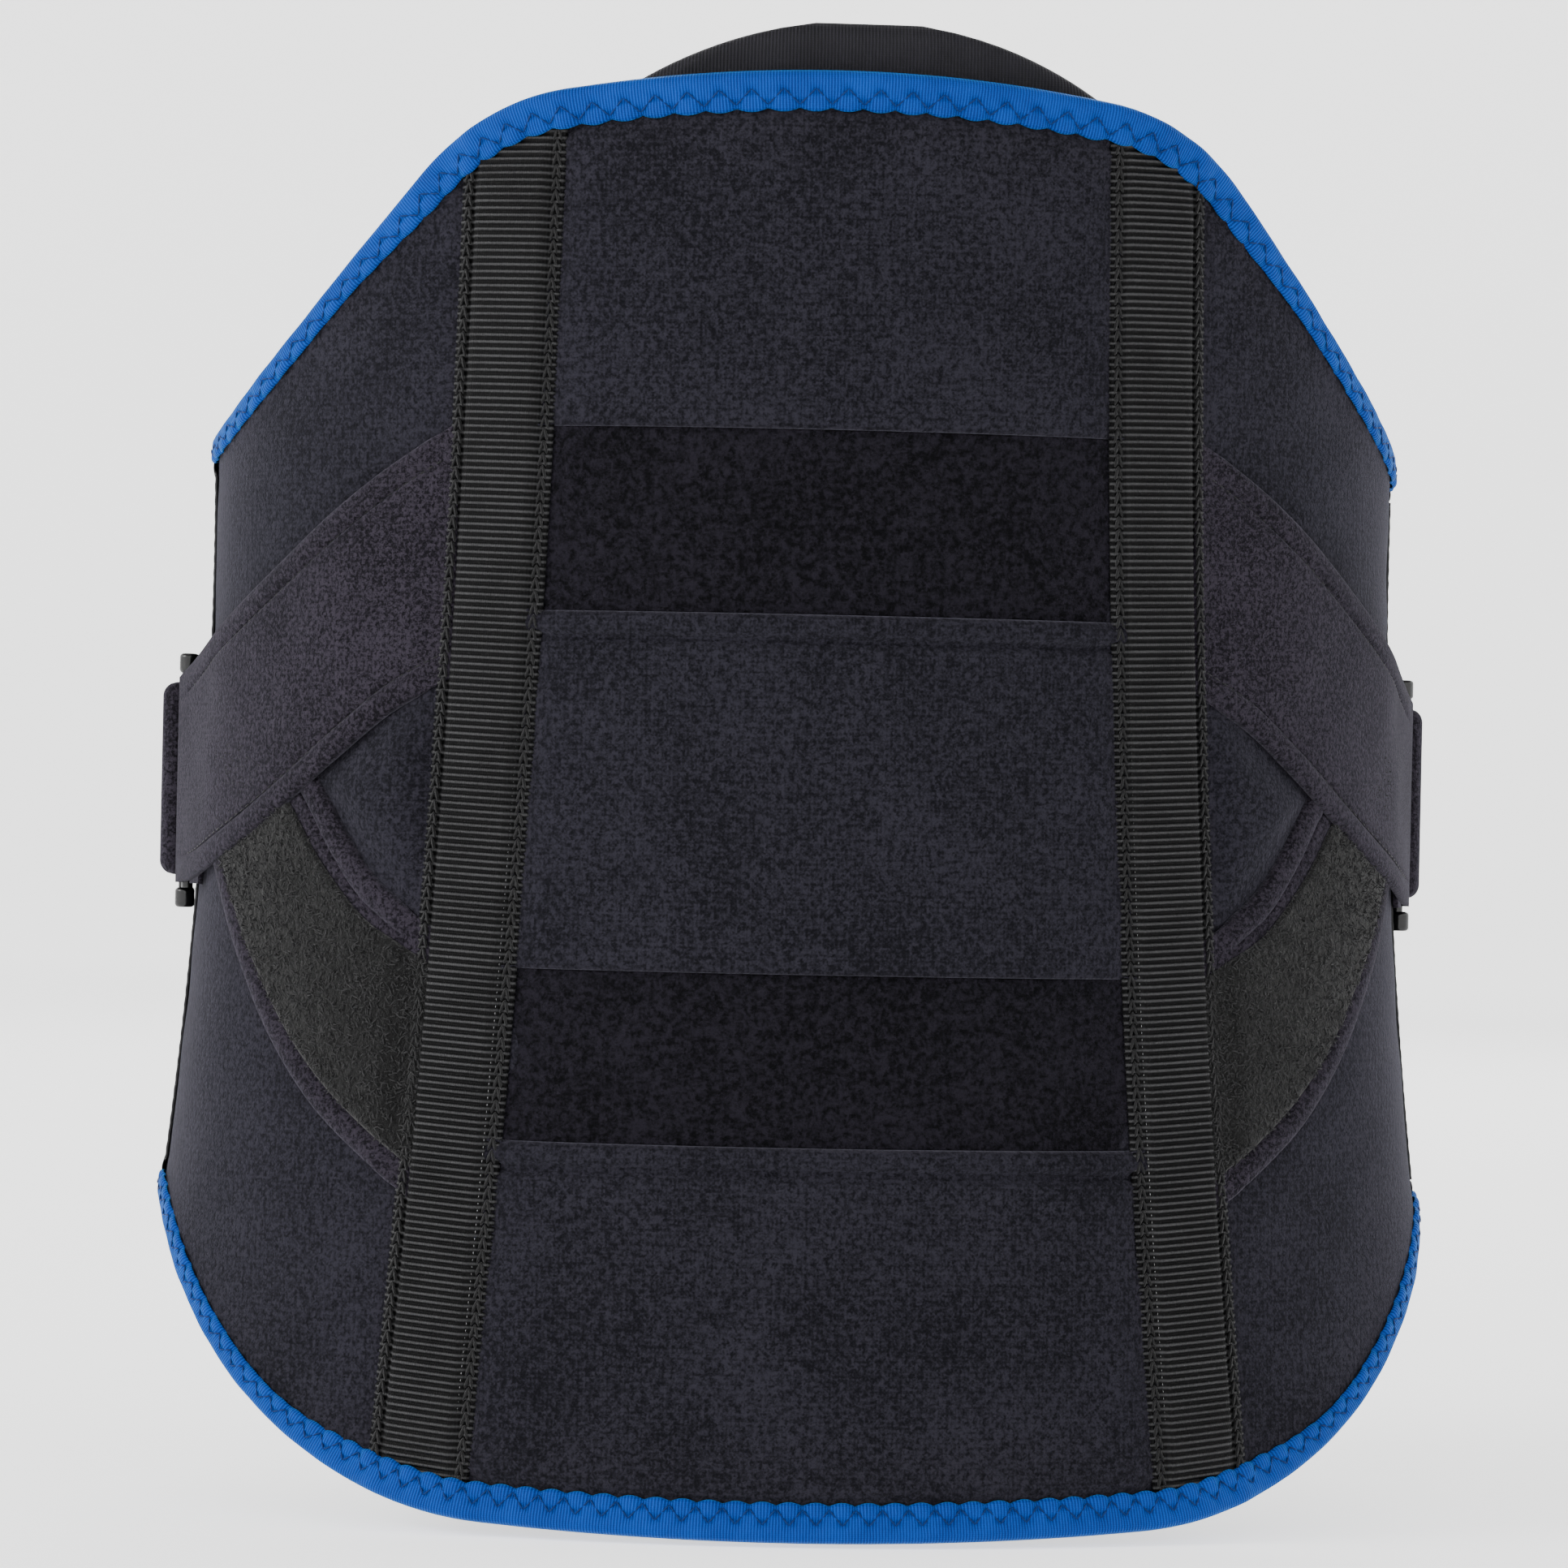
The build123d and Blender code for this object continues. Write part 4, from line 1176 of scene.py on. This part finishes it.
def placeWing(end, fullness):
    first, last = wingSpan(end)
    inset = wingShape["inset"]
    length = float(girthAtAngle(np.array(last)) - girthAtAngle(np.array(first)))

    def place(u, v):
        run = (length - inset) * (1 - (1 - u) ** 1.15)
        angle = angleAtGirth(girthAtAngle(np.array(first)) + run)
        corner = cornerInset(length - inset - run, wingShape["corner"] - inset)
        low, high = (wingHeight(angle, edge, inset + corner) for edge in ("bottom", "top"))
        z = low + (high - low) * v
        puff = 0.45 * mm * ripple(run, z, 9.0) * ease(run, 2 * mm, 20 * mm)
        return onTorso(angle, z, puff, fullness), run, z
    return place


def wingPath(end):
    # angle, height and distance along the wing's top edge, round its front end and back along the bottom
    first, last = wingSpan(end)
    start, stop = (float(girthAtAngle(np.array(a))) for a in (first, last))
    radius = wingShape["corner"]
    straight = np.linspace(start, stop - radius, 500)
    turn = np.linspace(0, math.pi / 2, 60)[1:-1]
    topZ, lowZ = (float(wingHeight(np.array([last]), edge)[0]) for edge in ("top", "bottom"))
    top, low = (list(zip(straight, wingHeight(angleAtGirth(straight), edge))) for edge in ("top", "bottom"))
    upper = [(stop - radius + radius * math.sin(t), topZ - radius + radius * math.cos(t)) for t in turn]
    lower = [(stop - radius + radius * math.cos(t), lowZ + radius - radius * math.sin(t)) for t in turn]
    front = [(stop, z) for z in np.linspace(topZ - radius, lowZ + radius, 200)]
    line = np.array(top + upper + front + lower + low[::-1])
    return angleAtGirth(line[:, 0]), line[:, 1], runAlong(line)


def placeEdging(path, fullness):
    # inward distance and lift, from the free edge outside, over the fold, to the free edge inside
    profile = mm * np.array([
        [8.0, 0.1], [7.8, 0.65], [6.6, 0.75], [5.2, 0.6], [3.6, 0.85], [1.6, 0.85], [0.5, 0.4], [0.05, -0.6],
        [0.0, -2.0], [0.1, -3.4], [0.8, -4.5], [2.6, -4.7], [6.0, -4.7], [7.8, -4.6], [8.0, -4.2]])

    def place(u, v):
        where = u * path[2][-1]
        spot = (1 - v) * (len(profile) - 1)
        distance, lift = (np.interp(spot, np.arange(len(profile)), profile[:, i]) for i in (0, 1))
        angle, z = inward(path, where, distance, True)
        lift = lift + 0.1 * mm * ripple(angle / 3, z, 6.0)
        return onTorso(angle, z, lift, fullness), where, distance * np.sign(spot - 7)
    return place


def placeSeamTape(side):
    # a narrow upright tape over the seam between the back panel and a wing
    def place(u, v):
        low, high = (wingShape[edge][0][1] * mm for edge in ("bottom", "top"))
        z = (low + seamTape["inset"]) * (1 - v) + (high - seamTape["inset"]) * v
        girth = flankGirth + (u - 0.5) * seamTape["width"]
        edge = np.minimum(u, 1 - u) * seamTape["width"]
        ribs = seamTape["ribDepth"] * np.sin(z / seamTape["rib"] * 2 * math.pi)
        lift = seamTape["lift"] - roundedEdge(edge, 0.5 * mm) + ribs
        return onTorso(angleAtGirth(girth), z, lift), girth - halfWidth(0.0), z
    return onSide(place, side)


def boxStitching(fullness, side):
    # two rounds of stitches inside the front grip's edge
    cut, ends = frontGrip["seamCorner"], []
    for inset in (frontGrip["seamInset"], frontGrip["seamInset"] + frontGrip["seamGap"]):
        (x0, x1), (z0, z1) = ((a + inset, b - inset) for a, b in (frontGrip["span"], frontGrip["heights"]))
        corners = np.array([(x0 + cut, z0), (x1 - cut, z0), (x1, z0 + cut), (x1, z1 - cut), (x1 - cut, z1),
                            (x0 + cut, z1), (x0, z1 - cut), (x0, z0 + cut), (x0 + cut, z0)])
        run = runAlong(corners)
        starts = np.arange(0, run[-1] - 2 * mm, frontGrip["stitchPitch"])
        pair = []
        for where in (starts, starts + frontGrip["stitchLength"]):
            x, z = (np.interp(where, run, corners[:, i]) for i in (0, 1))
            points = onTorso(frontAngle(x, z), z, frontGrip["seamLift"], fullness)
            pair.append(points * np.array([sides[side], 1, 1]))
        ends.append(np.stack(pair, axis=1))
    return np.concatenate(ends)


def placeGripPatch(u, v):
    x, z = roundedOblong(u, v, frontGrip["span"], frontGrip["heights"], 0.14, 5)
    return onTorso(frontAngle(x, z), z, frontGrip["lift"], fullnesses["right"]), x, z


wings = {}
for side in sides:
    full, body = fullnesses[side], f"wing_{side}"
    bend = flankBend(side, wingShape["bendFrom"], wingShape["bendTo"])
    place = onSide(placeWing(wingEnds[side], full), side)
    wings[side] = cutCloth(f"wing_{side}", wingShape["cells"], place, wingShape["thickness"])
    dress(wings[side], "wingPlush", stands=[f"wing_panel_{side}"], bend=bend)
    path = wingPath(wingEnds[side])
    along = int(path[2][-1] / edgingTape["step"])
    place = onSide(placeEdging(path, full), side)
    edging = cutCloth(f"wingEdging_{side}", (along, edgingTape["rows"]), place, edgingTape["thickness"])
    dress(edging, "blackTape", stands=[f"wing_edging_{side}"], bend=bend)
    line = np.linspace(0.004, 0.996, 3000)
    pitch, length, proud = (edgingTape[key] for key in ("stitchPitch", "stitchLength", "proud"))
    ends = seamEnds(place, line, 0 * line + 1 - edgingTape["stitchRow"], pitch, length, proud)
    edgeSeam = stitches(f"edgingSeam_{side}", ends, edgingTape["thread"])
    dress(edgeSeam, "blackThread", bend=bend)
    tapePiece = cutCloth(f"seamTape_{side}", (20, 160), placeSeamTape(side), seamTape["thickness"])
    bend = flankBend(side, seamTape["bendFrom"], seamTape["bendTo"])
    dress(tapePiece, "blackTape", bend=bend)
    span = (pocket["middle"] - pocket["halfWidth"], pocket["middle"] + pocket["halfWidth"])
    place = mirrored(tapeStrip(span, pocket["heights"], pocket["lift"], full, pocket["crown"]), side)
    pocketPiece = cutCloth(f"frontPocket_{side}", (24, 110), place, pocket["thickness"])
    dress(pocketPiece, "blackTape", body, [f"front_pocket_{side}"])
for name, side, lift, full, finish, slot in (
        ("Hook", "right", closure["hookLift"], fullnesses["right"], "hooks", "hook_tape"),
        ("Loop", "left", closure["loopLift"], 0.0, "loopPile", "loop_tape")):
    place = mirrored(tapeStrip(closure["span"], closure["heights"], lift, full), "right")
    strip = cutCloth("closure" + name, (40, 120), place, closure["thickness"], 0)
    dress(strip, finish, f"wing_{side}", ["closure_" + name.lower()])

place = mirrored(placeGripPatch, "right")
gripPatch = cutCloth("gripPatch", frontGrip["cells"], place, frontGrip["thickness"], 0)
taper(gripPatch, cushioned(frontGrip["cells"], (0.08, 0.06)), 0.3)
dress(gripPatch, "tabFabric", "wing_right", ["grip_patch"])
gripSeam = stitches("gripSeam", boxStitching(fullnesses["right"], "right"), frontGrip["thread"])
dress(gripSeam, "blueThread", "wing_right")
print("wings done")


# Removable pad inside the back panel.
padShape = {
    "halfWidth": 76 * mm, "top": 196 * mm, "bottom": -128 * mm, "crownRadius": 119 * mm, "corner": 30 * mm,
    "middle": -10.4 * mm, "lean": 7 * mm, "thickness": 6.6 * mm, "cells": (80, 150),
    "tapes": ((-57, -33), (33, 57)), "tapeLow": -100, "tapeLength": 240, "tapeLift": -6.25 * mm,
    "tapeThickness": 0.9 * mm, "tapeWidth": 24 * mm,
}


def padHalfWidth(z):
    # half the pad's width at each height: a round crown and rounded lower corners
    radius, half, corner = padShape["crownRadius"], padShape["halfWidth"], padShape["corner"]
    over = np.sqrt(np.maximum(radius ** 2 - np.maximum(z - padShape["top"] + radius, 0) ** 2, 0))
    low = np.maximum(padShape["bottom"] + corner - z, 0)
    return np.minimum(over, half) - (corner - np.sqrt(np.maximum(corner ** 2 - low ** 2, 0)))


def placePad(u, v):
    low, high = padShape["bottom"] + 0.4 * mm, padShape["top"] - 0.8 * mm
    z = low + (high - low) * (1 - np.cos(v * math.pi)) / 2 * 0.35 + (high - low) * v * 0.65
    x = (2 * u - 1) * padHalfWidth(z) * (1 + 0.03 * ease(z, 0.1, 0.18))
    x = x + padShape["lean"] * ease(z, 0.06, 0.18)
    return onTorso(angleAt(x, z), z, padShape["middle"] + 0.2 * mm * ripple(x, z, 12.0)), x, z


pad = cutCloth("padCover", padShape["cells"], placePad, padShape["thickness"], 0)
taper(pad, cushioned(padShape["cells"], (0.14, 0.07)), 0.12)
dress(pad, "tricot", "pad", ["pad_cover"])
for number, (x0, x1) in enumerate(padShape["tapes"]):
    def placeTape(u, v, x0=x0, x1=x1):
        x, z = (x0 + (x1 - x0) * u) * mm, (padShape["tapeLow"] + padShape["tapeLength"] * v) * mm
        return onTorso(angleAt(x, z), z, padShape["tapeLift"]), x, z
    tapePiece = cutCloth(f"padHookTape_{number + 1}", (24, 150), placeTape, padShape["tapeThickness"], 0)
    dress(tapePiece, "hooks", "pad", ["pad_hook_tapes"])
for name, node in nodes.items():
    if name.startswith(("back_stay", "front_stay")):
        paint(node, "steel")
    elif name.startswith("pad_plate"):
        paint(node, "sheetPlastic")
print("pad done")


# Floor, light and camera.
studio = {
    "radius": 5.0, "bend": 2.0, "wall": 3.0, "distance": 1.62, "azimuth": -3.5, "roll": 1.2, "glow": 1.0,
    "aim": (-10.8 * mm, -112 * mm, 5.8 * mm), "frameWidth": 389.5 * mm, "floorGap": 0.5 * mm,
    "sensor": 36, "skyGlow": 0.8, "darkFloor": (0.84, 0.84, 0.84), "paleFloor": (0.88, 0.88, 0.88),
}
# Where each soft light stands, its width in metres and its power in watts.
lamps = {
    "leftLight": ((-2.3, -0.9, 1.0), 1.5, 62),
    "rightLight": ((2.3, -0.9, 0.9), 1.5, 5),
    "frontLight": ((0.6, 2.6, 1.6), 2.0, 30),
}


def makeStage():
    # a pale round floor that bends up into a pale wall far behind the belt, on every side
    floor = cadBounds[0][2] - studio["floorGap"]

    def place(u, v):
        flatRun, bend = studio["radius"], studio["bend"]
        run = v * (flatRun + bend * math.pi / 2 + studio["wall"])
        turn = np.clip((run - flatRun) / bend, 0, math.pi / 2)
        reach = np.minimum(run, flatRun) + bend * np.sin(turn)
        z = floor + bend * (1 - np.cos(turn)) + np.maximum(run - flatRun - bend * math.pi / 2, 0)
        return np.stack([reach * np.cos(u * 2 * math.pi), reach * np.sin(u * 2 * math.pi), z], axis=-1), u, v
    stage = clothGrid("stage", (96, 80), place)
    g = Graph("paleStage")
    shade = g.noise(g.place(), 0.4, 2, 0.5)
    g.feed(g.shader.inputs["Emission Color"], (1, 1, 1, 1))
    g.feed(g.shader.inputs["Emission Strength"], studio["glow"])
    colour = g.blend(shade, studio["darkFloor"], studio["paleFloor"])
    stage.data.materials.append(g.finish(colour, Roughness=0.9))


def softLight(name, spot, size, power, aim=(0, -0.05, 0)):
    light = bpy.data.lights.new(name, "AREA")
    light.shape, light.size, light.energy = "DISK", size, power
    lamp = bpy.data.objects.new(name, light)
    lamp.location = spot
    lamp.rotation_euler = (Vector(aim) - Vector(spot)).to_track_quat("-Z", "Y").to_euler()
    bpy.context.scene.collection.objects.link(lamp)


def makeCamera():
    turn, distance = math.radians(studio["azimuth"]), studio["distance"]
    aim = Vector(studio["aim"])
    spot = aim + Vector((math.sin(turn), -math.cos(turn), 0)) * distance
    lens = bpy.data.cameras.new("camera")
    lens.sensor_width = studio["sensor"]
    lens.lens = studio["sensor"] * distance / studio["frameWidth"]
    camera = bpy.data.objects.new("camera", lens)
    face = (aim - spot).to_track_quat("-Z", "Y").to_matrix().to_4x4()
    roll = Matrix.Rotation(math.radians(studio["roll"]), 4, "Z")
    camera.matrix_world = Matrix.Translation(spot) @ face @ roll
    bpy.context.scene.collection.objects.link(camera)
    bpy.context.scene.camera = camera


makeStage()
world = bpy.data.worlds.new("studio")
world.use_nodes = True
world.node_tree.nodes["Background"].inputs["Color"].default_value = (1, 1, 1, 1)
world.node_tree.nodes["Background"].inputs["Strength"].default_value = studio["skyGlow"]
bpy.context.scene.world = world
for name, (spot, size, power) in lamps.items():
    softLight(name, spot, size, power)
makeCamera()
print("stage, light and camera done")
